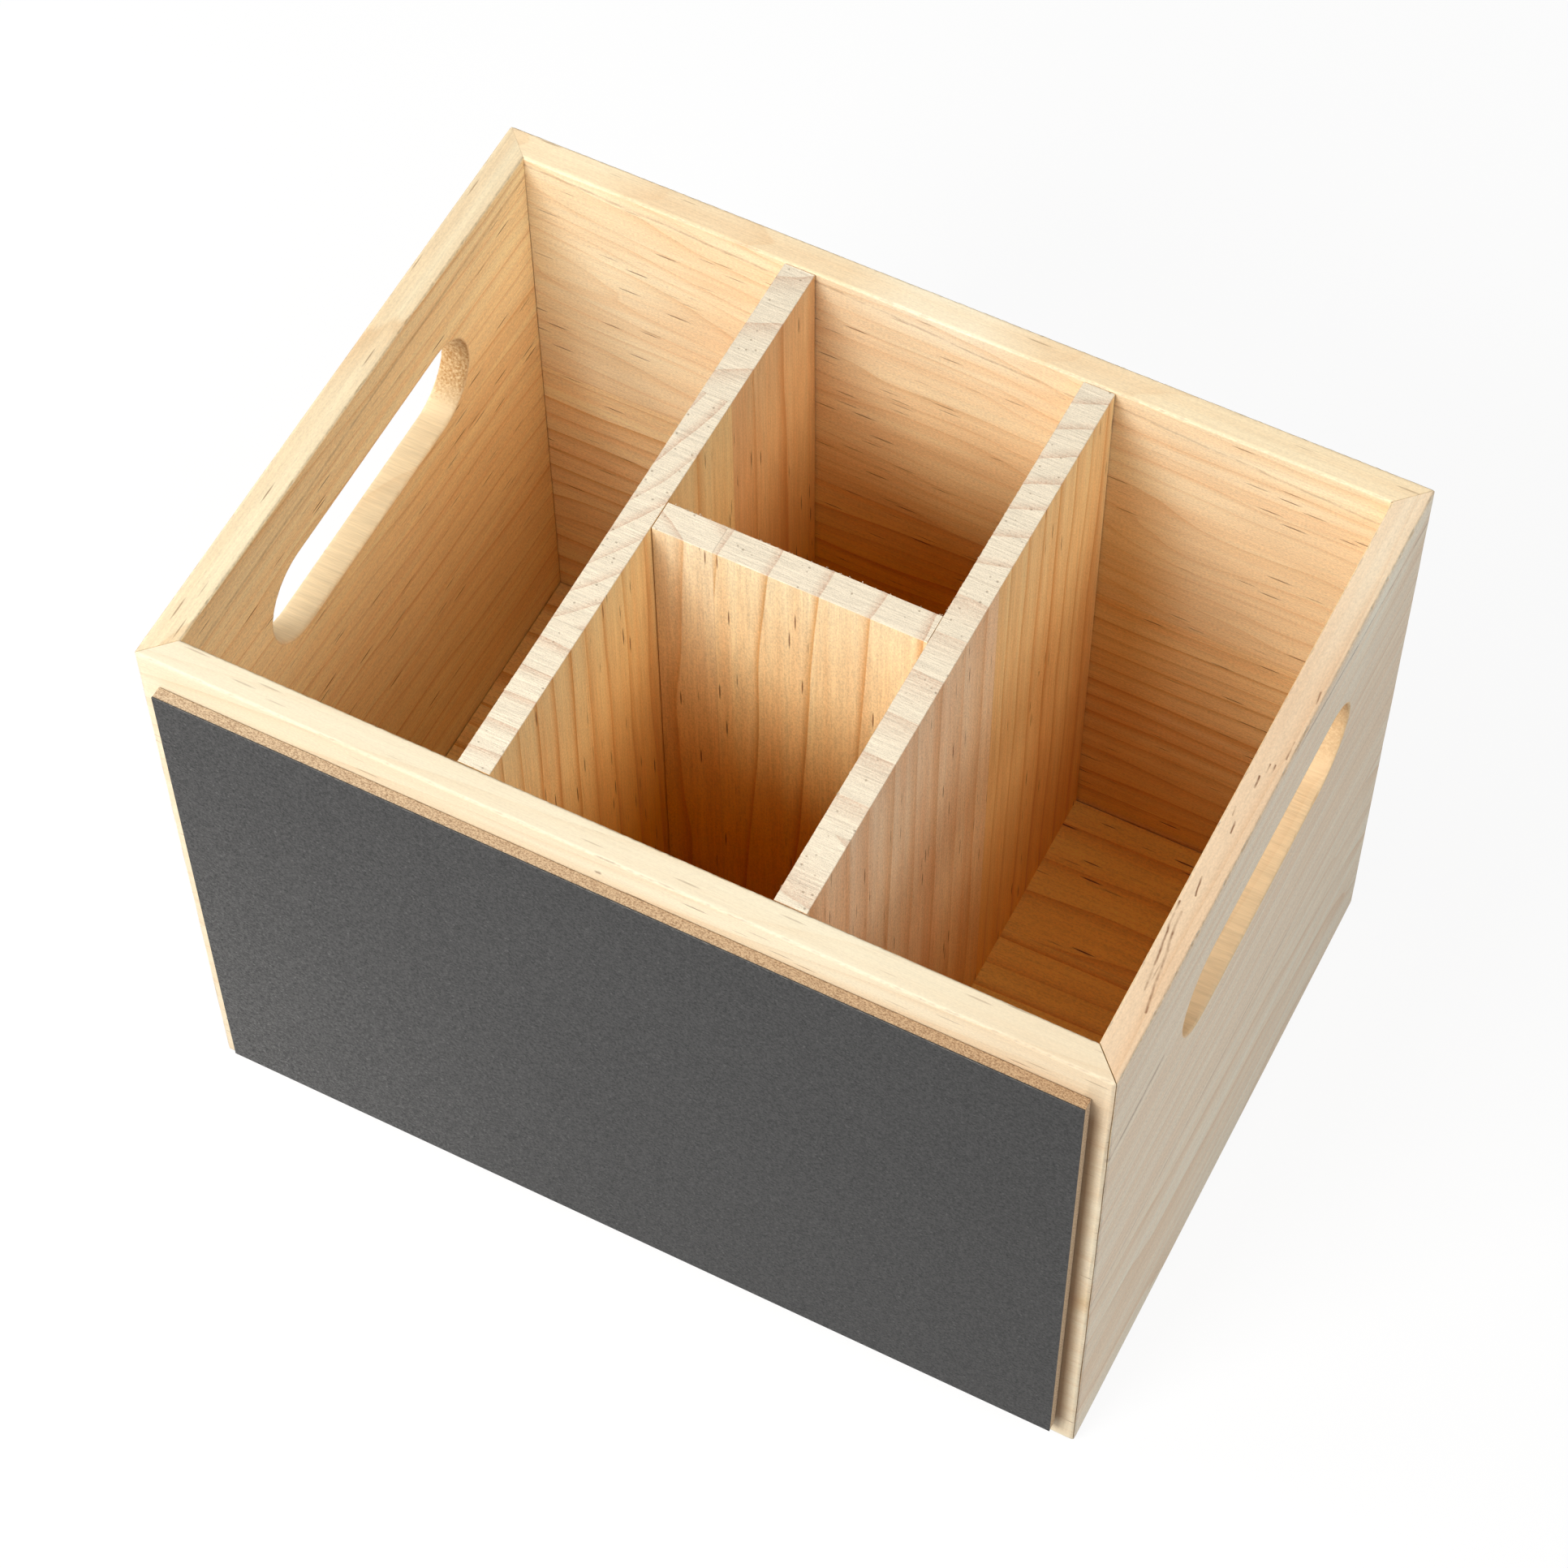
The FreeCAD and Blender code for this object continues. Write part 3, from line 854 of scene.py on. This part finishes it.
def tintMarks(colors, places, board):
    # Patches are round: centre, reach, tone. Bands are square: lowest corner, highest
    # corner, width of their soft borders, tone.
    for centre, reach, tone in board.get("patches", ()):
        away = numpy.linalg.norm((places - numpy.array(centre)) / numpy.array(reach), axis=1)
        tintBy(colors, tone, numpy.clip(1.5 - away, 0, 1))
    for low, high, softness, tone in board.get("bands", ()):
        outside = numpy.maximum(numpy.array(low) - places, places - numpy.array(high))
        away = numpy.linalg.norm(numpy.maximum(outside, 0) / numpy.array(softness), axis=1)
        tintBy(colors, tone, numpy.clip(1 - away, 0, 1))


def paintBayShade(colors, places):
    # Painted shade: the wood gets darker and more amber further down the bays, slowly at
    # first and up to a limit, because little light gets there that hasn't come off other wood.
    near = 0.05  # mm that a corner may lie off its face
    inBay = ((numpy.abs(places[:, 0]) < innerX + near)
             & (numpy.abs(places[:, 1]) < innerY + near)
             & (places[:, 2] > box["base"] - near))
    middles = numpy.array((leftDividerX, rightDividerX)) + box["divider"] / 2
    reach = numpy.array(pine["amberReach"])[numpy.digitize(places[:, 0], middles)]
    deep = numpy.clip((box["height"] - places[:, 2]) / reach, 0, 1.1) ** 1.3
    tintBy(colors, hexColor(pine["amber"])[:3], numpy.where(inBay, deep, 0))


def giveGrain(mesh, board):
    # writes where each corner lay in its log, how its stave grew, and its colour
    acrossA, acrossB, along = {"X": (1, 2, 0), "Y": (0, 2, 1), "Z": (0, 1, 2)}[board["grain"]]
    axis = "XYZ".index(board["splitAxis"])
    corners = meshValues(mesh.loops, "vertex_index", 1, numpy.int32)
    places = meshValues(mesh.vertices, "co", 3)[corners] / mm
    sizes = meshValues(mesh.polygons, "loop_total", 1, numpy.int32)
    middles = numpy.repeat(meshValues(mesh.polygons, "center", 3), sizes, axis=0)[:, axis] / mm
    normals = numpy.repeat(meshValues(mesh.polygons, "normal", 3), sizes, axis=0)
    vectors = {name: numpy.zeros((len(corners), 3))
               for name in ("log", "fibre", "habit", "nature", "spring")}
    seam = numpy.zeros(len(corners))
    facing = 0.7  # least cosine between a face's normal and the way that it faces
    lower = -endless
    for number, stave in enumerate(board["staves"]):
        mine = (middles > lower) & (middles <= stave["upTo"])
        seam[numpy.abs(places[:, axis] - stave["upTo"]) < 0.02] = 1
        lower = stave["upTo"]
        a, b, lengthwise = (places[mine][:, k] for k in (acrossA, acrossB, along))
        lean, pith, ring = stave["lean"], stave["pith"], stave["ring"]
        run = lengthwise - board.get("level", 0)
        vectors["log"][mine] = numpy.stack([(a - pith[0] - lean[0] * run) / ring,
                                            (b - pith[1] - lean[1] * run) / ring,
                                            numpy.full_like(a, stave["shift"])], 1)
        # 97 mm keep the patterns of neighbouring staves apart
        vectors["fibre"][mine] = numpy.stack([a + 97 * number + board["seed"].x, b,
                                              lengthwise], 1)
        vectors["habit"][mine] = stave["habit"]
        vectors["nature"][mine] = stave["nature"]
        vectors["spring"][mine] = hexColor(stave["color"])[:3]
        # faces inside the bays take their own paler, more orange colour: painted light for the
        # light that bounces round the bays
        inside = mine & (normals @ board.get("inward", Vector((0, 0, 0))) > facing)
        vectors["spring"][inside] = hexColor(stave.get("inner", stave["color"]))[:3]
        onRim = mine & (normals[:, 2] > facing) & (places[:, 2] > box["height"] - 1.5)
        vectors["spring"][onRim] = hexColor(stave.get("rim", stave["color"]))[:3]
        vectors["habit"][onRim, 0] *= 0.6  # sanding blurs the rim
        vectors["nature"][onRim, 1] *= 0.5
    if "routed" in board:
        slots = numpy.repeat(meshValues(mesh.polygons, "material_index", 1, numpy.int32),
                             sizes)
        vectors["spring"][slots == routedFace] = hexColor(board["routed"])[:3]
        vectors["habit"][slots == routedFace, 0] *= 0.4
    tintMarks(vectors["spring"], places, board)
    paintBayShade(vectors["spring"], places)
    for name, values in vectors.items():
        attribute = mesh.attributes.new(name, "FLOAT_VECTOR", "CORNER")
        attribute.data.foreach_set("vector", values.ravel())
    # the bit tears the end grain at one end of a slot more than at the other
    tornFar, tornNear = board.get("torn", (0, 0))
    facing = normals[:, along]
    torn = numpy.clip((numpy.abs(facing) - 0.35) / 0.4, 0, 1)
    torn *= numpy.where(facing < 0, tornFar, tornNear)
    for name, values in (("seam", seam), ("torn", torn)):
        mesh.attributes.new(name, "FLOAT", "CORNER").data.foreach_set("value", values)


def makePiece(name, shape, board, materials):
    # turns a board from (length, depth, height) to the caddy's axes and finishes its mesh
    turn = Matrix.Rotation(math.radians(board["turn"]), 4, "Z")
    bmesh.ops.transform(shape, matrix=Matrix.Translation(Vector(board["place"])) @ turn,
                        verts=shape.verts)
    for edge in board.get("fibres", ()):
        addFibres(shape, edge)
    if "staves" in board:
        splitStaves(shape, board)
    bmesh.ops.recalc_face_normals(shape, faces=shape.faces)
    bmesh.ops.scale(shape, vec=(mm, mm, mm), verts=shape.verts)
    mesh = bpy.data.meshes.new(name)
    shape.to_mesh(mesh)
    shape.free()
    mesh.polygons.foreach_set("use_smooth", [True] * len(mesh.polygons))
    mesh.set_sharp_from_angle(angle=math.radians(38))  # the fine steps of an arris are less
    if "staves" in board:
        giveGrain(mesh, board)
    for material in materials:
        mesh.materials.append(material)
    piece = bpy.data.objects.new(name, mesh)
    bpy.context.scene.collection.objects.link(piece)
    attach(piece, "root")
    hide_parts(board["node"])


# radii and wear are those of the outer foot, outer rim, inner rim and inner foot. rows are
# the distances between rows of corners on the outer face, top, inner face and foot.
wallSizes = {
    "depth": box["wall"], "height": box["height"], "mitred": True, "step": 0.8,
    "slotName": "pine_wall", "radii": (3.0, 0.5, 0.5, 0.1), "wear": (0.15, 0.2, 0.2, 0.0),
    "margin": 0.35, "rows": (10.0, 0.8, 10.0, 2.0), "cornerRadius": 0.8, "splitAxis": "Z",
}

# gaps and opening are how far a board's left and right ends fall short, seen from outside:
# all the way up, and below the rim. wear, endWear and seed drive the chips in its edges.
# A stave's pith, ring and lean are in mm: where the log's centre lies in the board's
# section, how wide a year's ring is, and how far the centre moves per mm along the grain.
# habit: darkness of the summer wood, wandering of the rings, where in a ring it starts.
# nature: how many resin canals, how sandy, how pink.
# patches and bands tint one place each, over all the staves: see tintMarks.
walls = {
    "pine_front_wall": {
        "node": "front_wall", "length": box["width"], "turn": 0,
        "place": (0, -box["depth"] / 2, 0),
        "grain": "X", "inward": Vector((0, 1, 0)), "gaps": (0.12, 0.2),
        "endWear": (0.15, 0.25), "seed": Vector((11, 5, 2)),
        # a painted shadow beside the chalkboard's right edge, where the lamps throw a paler one
        "bands": [((119.2, -90, 13), (120.9, -89, 176), (2.6, 1, 6), (0.3, 0.21, 0.13))],
        "patches": [((125, -89, 190), (45, 30, 40), (0.95, 0.9, 0.86)),
                    ((123, -89.5, 81), (5, 3, 4), (0.86, 0.76, 0.62))],
        "staves": [{"upTo": endless, "pith": (-149.5, 120), "ring": 6.2, "lean": (0.12, 0),
                    "shift": 0.2, "habit": (0.18, 0.5, 0.7), "nature": (2.2, 0.5, 0.2),
                    "color": "#F0DEBE", "rim": "#EBDDBF", "inner": "#F8DFAE"}],
    },
    "pine_back_wall": {
        "node": "back_wall", "length": box["width"], "turn": 180,
        "place": (0, box["depth"] / 2, 0), "grain": "X", "inward": Vector((0, -1, 0)),
        "gaps": (0.1, 0.03), "opening": (0.04, 0.09),
        "endWear": (0.18, 0.1), "seed": Vector((3, 15, 8)),
        # the first two patches are painted light and shade: paler and less orange low in the
        # left bay, darker beside the right divider
        "patches": [((-98, 81.5, 140), (26, 3, 34), (1.0, 1.1, 1.2)),
                    ((48, 81.5, 105), (16, 3, 50), (0.88, 0.78, 0.58)),
                    ((-2, 85, 191), (18, 30, 2), (1.08, 1.2, 1.36)),
                    ((-108, 85, 191), (18, 30, 2), (1.08, 1.14, 1.2))],
        "staves": [{"upTo": 107.5, "pith": (101.5, -60), "ring": 8.0, "lean": (0, 0.01),
                    "shift": 0.1, "habit": (0.62, 1.0, 0.58), "nature": (1.5, 0.8, 0.5),
                    "color": "#E9CA9E", "inner": "#FEE6BA"},
                   {"upTo": endless, "pith": (106.5, 60), "ring": 6.5, "lean": (0.02, -0.11),
                    "shift": 0.0, "habit": (0.28, 2.0, 0.66), "nature": (2.0, 0.8, 0.5),
                    "color": "#EFD5AC", "rim": "#F7DFB6", "inner": "#FBE7C2"}],
    },
    "pine_left_wall": {
        "node": "left_wall", "length": box["depth"], "turn": -90,
        "place": (-box["width"] / 2, 0, 0),
        "grain": "Y", "inward": Vector((1, 0, 0)), "gaps": (0.03, 0.08), "slot": True,
        "endWear": (0.1, 0.15), "seed": Vector((21, 9, 4)), "torn": (1, 0), "routed": "#EBD2A8",
        "opening": (0.09, 0.04),
        "staves": [{"upTo": endless, "pith": (-60, -80), "ring": 9.3, "lean": (0, -0.07),
                    "shift": 0.75, "habit": (0.5, 0.9, 0.8), "nature": (1.0, 0.9, 0.3),
                    "color": "#EBCFA2", "rim": "#EFD9B2", "inner": "#FCE5B6"}],
    },
    "pine_right_wall": {
        "node": "right_wall", "length": box["depth"], "turn": 90,
        "place": (box["width"] / 2, 0, 0),
        "grain": "Y", "inward": Vector((-1, 0, 0)), "gaps": (0.2, 0.1), "slot": True,
        "endWear": (0.25, 0.18), "seed": Vector((31, 2, 17)), "torn": (0.4, 0.15),
        "routed": "#EFCEA0",
        "patches": [((121, 84, 191), (30, 42, 2), (1.14, 1.26, 1.36)),
                    ((125, -60, 182), (9, 40, 14), (0.94, 0.92, 0.9))],
        "staves": [{"upTo": 79, "pith": (95, 10), "ring": 16, "lean": (0.1, -0.3),
                    "shift": 0.3, "habit": (0.34, 0.7, 0.5), "nature": (0.4, 0.8, 0.1),
                    "color": "#EEDEC5", "inner": "#F2D3A0"},
                   {"upTo": endless, "pith": (90, 195), "ring": 8.5, "lean": (0, -0.02),
                    "shift": 0.1, "habit": (0.3, 0.35, 0.85), "nature": (0.6, 1.0, 0.3),
                    "color": "#EEDCC2", "rim": "#E5C8A5", "inner": "#F4D8A6"}],
    },
}

for name, board in walls.items():
    board.update(wallSizes)
    shape = buildBoard(board)
    if board.get("slot"):
        cutSlot(shape, board)
    makePiece(name, shape, board, [wallPine, sawnEnd, routedPine])
print("four mitred walls made")


# the base board and the dividers are coloured paler than the walls' outer faces: painted light
# for the light that bounces round the bays
baseBoard = {
    "node": "base_board", "slotName": "pine_base", "length": 2 * innerX,
    "depth": 2 * innerY - 0.5,  # a hair-wide gap at the front and back walls
    "height": box["base"], "mitred": False, "step": 1.5, "radii": (0.1, 0.3, 0.3, 0.1),
    "wear": (0, 0.12, 0.12, 0), "rows": (1.5, 6.0, 1.5, 6.0), "margin": 0.35,
    "gaps": (0.3, 0.3), "turn": 0, "place": (0, 0.25 - innerY, 0), "grain": "X",
    "seed": Vector((5, 25, 6)), "splitAxis": "Y",
    "staves": [{"upTo": -28, "pith": (-20, -70), "ring": 6.5, "lean": (0.01, 0),
                "shift": 0.1, "habit": (0.36, 0.5, 0.7), "nature": (1, 0.8, 0.4),
                "color": "#FDE4B6"},
               {"upTo": 35.3, "pith": (140, -50), "ring": 7, "lean": (-0.01, 0),
                "shift": 0.6, "habit": (0.7, 0.6, 0.6), "nature": (1, 0.8, 0.4),
                "color": "#FFEABE"},
               {"upTo": endless, "pith": (0, -90), "ring": 7, "lean": (0.01, 0),
                "shift": 0.3, "habit": (0.6, 0.7, 0.65), "nature": (1, 0.8, 0.4),
                "color": "#FFE8BA"}],
}
makePiece("pine_base_board", buildBoard(baseBoard), baseBoard, [innerPine])


dividerSizes = {
    "depth": box["divider"], "height": dividerTop - box["base"], "mitred": False,
    "step": 0.45, "slotName": "pine_divider", "radii": (0.1, 0.12, 0.12, 0.1),
    "margin": 0.15, "rows": (12.0, 1.4, 12.0, 2.0), "grain": "Z",
    "level": dividerTop,  # piths are given at this height
}


def tornArris(start, end, count, seed):
    # slivers of torn fibre just under the tops, between two places in mm
    height = dividerTop - 0.1
    return {"Start": [v * mm for v in (*start, height)],
            "End": [v * mm for v in (*end, height)], "Count": count, "Seed": seed}


dividers = {
    "pine_left_divider": {
        "node": "left_divider", "length": 2 * innerY, "turn": -90,
        "place": (leftDividerX, 0, box["base"]),
        "gaps": (0.3, 0.2), "wear": (0, 0.34, 0.1, 0), "seed": Vector((8, 1, 30)),
        "splitAxis": "Y",
        "fibres": [tornArris((leftDividerX + 0.05, 0.3 - innerY),
                             (leftDividerX + 0.05, innerY - 0.3), 420, 3)],
        "staves": [{"upTo": -37, "pith": (-54, -460), "ring": 8.2, "lean": (0, 0.012),
                    "shift": 0.08, "habit": (0.75, 0.25, 0.7), "nature": (0.55, 0.7, 0.3),
                    "color": "#F8D89E"},
                   {"upTo": 37.2, "pith": (-137, 53), "ring": 5.6, "lean": (0.01, 0.01),
                    "shift": -0.15, "habit": (0.7, 0.25, 0.65), "nature": (0.5, 0.7, 0.2),
                    "color": "#FAD89C"},
                   {"upTo": endless, "pith": (8.6, -20.4), "ring": 14.5, "lean": (0, 0.01),
                    "shift": 0.3, "habit": (0.5, 0.3, 0.7), "nature": (0.55, 0.7, 1.0),
                    "color": "#F3CE9B"}],
    },
    "pine_right_divider": {
        "node": "right_divider", "length": 2 * innerY, "turn": -90,
        "place": (rightDividerX, 0, box["base"]),
        "gaps": (0.3, 0.2), "wear": (0, 0.32, 0.1, 0), "seed": Vector((18, 41, 3)),
        "splitAxis": "Y",
        "fibres": [tornArris((rightDividerX + 0.05, 0.3 - innerY),
                             (rightDividerX + 0.05, innerY - 0.3), 420, 8)],
        "staves": [{"upTo": -60, "pith": (67, 14), "ring": 18, "lean": (0, 0.01),
                    "shift": 0.64, "habit": (0.45, 0.2, 0.35), "nature": (1.3, 1.0, 1.0),
                    "color": "#F6D6B2"},
                   {"upTo": 17.4, "pith": (17, -235), "ring": 12.4, "lean": (0.0, 0.015),
                    "shift": -0.05, "habit": (0.4, 0.25, 0.35), "nature": (1.2, 1.0, 0.9),
                    "color": "#F8E1C3"},
                   {"upTo": endless, "pith": (-35, 242), "ring": 8.06, "lean": (0, 0.02),
                    "shift": 0.25, "habit": (0.75, 0.35, 0.7), "nature": (0.7, 0.7, 0.2),
                    "color": "#F8D69F"}],
    },
    "pine_cross_divider": {
        "node": "cross_divider", "length": box["middleBay"], "turn": 0,
        "place": (box["middleShift"], crossDividerY, box["base"]),
        "gaps": (0.3, 0.12), "wear": (0, 0.08, 0.3, 0), "seed": Vector((2, 14, 9)),
        "splitAxis": "X",
        "fibres": [tornArris((leftDividerX + box["divider"] + 0.35, crossBackY - 0.05),
                             (rightDividerX - 0.35, crossBackY - 0.05), 170, 5)],
        "staves": [{"upTo": -19, "pith": (-59, -53.5), "ring": 11, "lean": (0, 0.02),
                    "shift": 0.55, "habit": (0.6, 0.3, 0.8), "nature": (0.5, 0.8, 0.4),
                    "color": "#FBE7C0"},
                   {"upTo": endless, "pith": (-300, 0), "ring": 13.7, "lean": (0.05, 0.01),
                    "shift": 0.42, "habit": (0.95, 0.2, 0.82), "nature": (0.4, 0.8, 0.3),
                    "color": "#FBE4B8"}],
    },
}

for name, board in dividers.items():
    board.update(dividerSizes)
    shape = buildBoard(board)
    shape.normal_update()
    for face in shape.faces:  # the cross-cut top and its arrises
        atTop = all(v.co.z > board["height"] - 0.9 for v in face.verts)
        if atTop and abs(face.normal.z) > 0.35:
            face.material_index = sawnFace
    makePiece(name, shape, board, [innerPine, sawnEnd])
print("base board and dividers made")


chalkboard = {
    "faceColor": "#383736",
    "chip": "#B9B4AB",
    "coreColor": "#DCC3A2",
    "coreDark": "#96785A",
    # browner along the upper edge: what multiplies the core there, at its left and right
    "topLeft": "#ECEEEF",
    "topRight": "#DACEBF",
    "filmColor": "#4A3B2C",
    # from the edges of the front wall
    "sideMargin": 5.5,
    "topMargin": 10.3,
    "bottomMargin": 9.6,
    # thickness of each layer
    "face": 0.4,
    "core": 3.0,
    "film": 0.2,
}


def blackboardPaint():
    # Matt blackboard lacquer sprayed on fibreboard: charcoal grey, fine gritty speckle that
    # scatters light, small pale chips where the saw left the sheet's arrises.
    material, tree = newMaterial("blackboardLacquer")
    place = addNode(tree, "ShaderNodeTexCoord").outputs["Object"]
    worn = addNode(tree, "ShaderNodeAttribute", attribute_name="worn").outputs["Fac"]
    # grit is about 0.1 mm; drawn 0.7 mm so that it shows, with bright specks 2 mm apart
    grit = addNode(tree, "ShaderNodeTexNoise", {"Vector": place, "Scale": 1500.0,
                                                "Detail": 2.0, "Roughness": 0.8})
    specks = addNode(tree, "ShaderNodeTexVoronoi", {"Vector": place, "Scale": 500.0})
    speck = addNode(tree, "ShaderNodeMapRange", {"Value": specks.outputs["Distance"],
                                                 "From Min": 0.08, "From Max": 0.2,
                                                 "To Min": 1.2, "To Max": 0.0})
    cloud = addNode(tree, "ShaderNodeTexNoise", {"Vector": place, "Scale": 14.0,
                                                 "Detail": 3.0})
    light = addNode(tree, "ShaderNodeMapRange", {"Value": grit, "From Min": 0.3,
                                                 "From Max": 0.7, "To Min": 0.0,
                                                 "To Max": 1.95}, clamp=False)
    light = addNode(tree, "ShaderNodeMath", {0: cloud, 1: 0.25, 2: light},
                    operation="MULTIPLY_ADD")
    light = addNode(tree, "ShaderNodeMath", {0: light, 1: speck}, operation="ADD")
    # painted light: the face is lighter low on the left and darker to the right, as the lamps
    # and floor light it
    axes = addNode(tree, "ShaderNodeSeparateXYZ", {0: place}).outputs
    across = addNode(tree, "ShaderNodeMapRange", {"Value": axes["X"], "From Min": -0.12,
                                                  "From Max": 0.12, "To Min": 0.85,
                                                  "To Max": 0.58})
    left = addNode(tree, "ShaderNodeMapRange", {"Value": axes["X"], "From Min": -0.12,
                                                "From Max": 0.0, "To Min": 0.78,
                                                "To Max": 0.12})
    low = addNode(tree, "ShaderNodeMapRange", {"Value": axes["Z"], "From Max": 0.18,
                                               "To Min": 1.0, "To Max": 0.0})
    paintedFalloff = addNode(tree, "ShaderNodeMath", {0: left, 1: low, 2: across},
                   operation="MULTIPLY_ADD")
    light = addNode(tree, "ShaderNodeMath", {0: light, 1: paintedFalloff}, operation="MULTIPLY")
    color = addNode(tree, "ShaderNodeVectorMath", {0: hexColor(chalkboard["faceColor"])[:3],
                                                   "Scale": light}, operation="SCALE")
    color = addNode(tree, "ShaderNodeMix", {0: worn, 6: color.outputs[0],
                                            7: hexColor(chalkboard["chip"])},
                    data_type="RGBA")
    bump = addNode(tree, "ShaderNodeBump", {"Height": grit, "Strength": 0.25,
                                            "Distance": 0.0001})
    skin = addNode(tree, "ShaderNodeBsdfPrincipled",
                   {"Base Color": color.outputs[2], "Roughness": 0.72, "Normal": bump,
                    "IOR": 1.49})
    addNode(tree, "ShaderNodeOutputMaterial", {"Surface": skin})
    return material


def rawFibreboard():
    # Medium density fibreboard, sawn edge left raw: tan, furry, pressed from tiny fibres.
    material, tree = newMaterial("rawFibreboard")
    place = addNode(tree, "ShaderNodeTexCoord").outputs["Object"]
    # clumps of fibre 0.3 mm thick and 0.5 mm long lie flat in the sheet
    flat = addNode(tree, "ShaderNodeVectorMath", {0: place, 1: (2000, 3000, 2000)},
                   operation="MULTIPLY")
    fibre = addNode(tree, "ShaderNodeTexNoise", {"Vector": flat, "Scale": 1.0, "Detail": 3.0,
                                                 "Roughness": 0.7})
    share = addNode(tree, "ShaderNodeMapRange", {"Value": fibre, "From Min": 0.35,
                                                 "From Max": 0.62})
    color = addNode(tree, "ShaderNodeMix", {0: share, 6: hexColor(chalkboard["coreDark"]),
                                            7: hexColor(chalkboard["coreColor"])},
                    data_type="RGBA")
    # the upper edge is browner than the other three, most of all on the right
    axes = addNode(tree, "ShaderNodeSeparateXYZ", {0: place}).outputs
    across = addNode(tree, "ShaderNodeMapRange", {"Value": axes["X"], "From Min": -0.12,
                                                  "From Max": 0.12})
    brown = addNode(tree, "ShaderNodeMix", {0: across, 6: hexColor(chalkboard["topLeft"]),
                                            7: hexColor(chalkboard["topRight"])},
                    data_type="RGBA")
    atTop = addNode(tree, "ShaderNodeMapRange", {"Value": axes["Z"], "From Min": 0.1797,
                                                 "From Max": 0.1805})
    brown = addNode(tree, "ShaderNodeMix", {0: atTop, 6: (1, 1, 1, 1),
                                            7: brown.outputs[2]}, data_type="RGBA")
    color = addNode(tree, "ShaderNodeMix", {0: 1.0, 6: color.outputs[2],
                                            7: brown.outputs[2]}, data_type="RGBA",
                    blend_type="MULTIPLY")
    bump = addNode(tree, "ShaderNodeBump", {"Height": fibre, "Strength": 0.5,
                                            "Distance": 0.0002})
    skin = addNode(tree, "ShaderNodeBsdfPrincipled",
                   {"Base Color": color.outputs[2], "Roughness": 0.85, "Normal": bump,
                    "IOR": 1.5})
    addNode(tree, "ShaderNodeOutputMaterial", {"Surface": skin})
    return material


def mountingFilm():
    # Acrylic mounting film, rolled on: dull brown skin with fine bubbles 1.4 mm apart.
    material, tree = newMaterial("mountingFilm")
    place = addNode(tree, "ShaderNodeTexCoord").outputs["Object"]
    bubbles = addNode(tree, "ShaderNodeTexVoronoi", {"Vector": place, "Scale": 700.0})
    light = addNode(tree, "ShaderNodeMapRange", {"Value": bubbles.outputs["Distance"],
                                                 "To Min": 0.8, "To Max": 1.1})
    color = addNode(tree, "ShaderNodeVectorMath", {0: hexColor(chalkboard["filmColor"])[:3],
                                                   "Scale": light}, operation="SCALE")
    skin = addNode(tree, "ShaderNodeBsdfPrincipled",
                   {"Base Color": color.outputs[0], "Roughness": 0.45, "IOR": 1.47})
    addNode(tree, "ShaderNodeOutputMaterial", {"Surface": skin})
    return material


filmBack = -box["depth"] / 2
coreBack = filmBack - chalkboard["film"]

sheets = {
    "blackboard_face": {
        "node": "chalkboard_face", "slotName": "blackboard_face",
        "depth": chalkboard["face"], "back": coreBack - chalkboard["core"],
        "inset": 0.0, "radius": 0.08, "wear": (0.05, 0.08, 0, 0),
        "finish": blackboardPaint},
    "fibreboard_core": {
        "node": "chalkboard_core", "slotName": "fibreboard",
        "depth": chalkboard["core"], "back": coreBack,
        "inset": 0.06, "radius": 0.12, "wear": (0.08, 0.08, 0.1, 0.1),
        "finish": rawFibreboard},
    "mounting_film": {
        "node": "chalkboard_adhesive", "slotName": "adhesive_film",
        "depth": chalkboard["film"], "back": filmBack,
        "inset": 3.0, "radius": 0.04, "wear": (0, 0, 0, 0),
        "finish": mountingFilm},
}

for name, sheet in sheets.items():
    inset, radius = sheet["inset"], sheet["radius"]
    low = chalkboard["bottomMargin"] + inset
    sheet.update({
        "length": box["width"] - 2 * (chalkboard["sideMargin"] + inset),
        "height": box["height"] - chalkboard["topMargin"] - inset - low,
        "mitred": False, "step": 0.7, "radii": (radius,) * 4, "margin": radius,
        "rows": (10.0, 1.0, 10.0, 1.0), "gaps": (0, 0), "turn": 0,
        "place": (0, sheet["back"] - sheet["depth"], low),
        "seed": Vector((4, 4, inset)),
    })
    makePiece(name, buildBoard(sheet), sheet, [sheet["finish"]()])
print("chalkboard made")
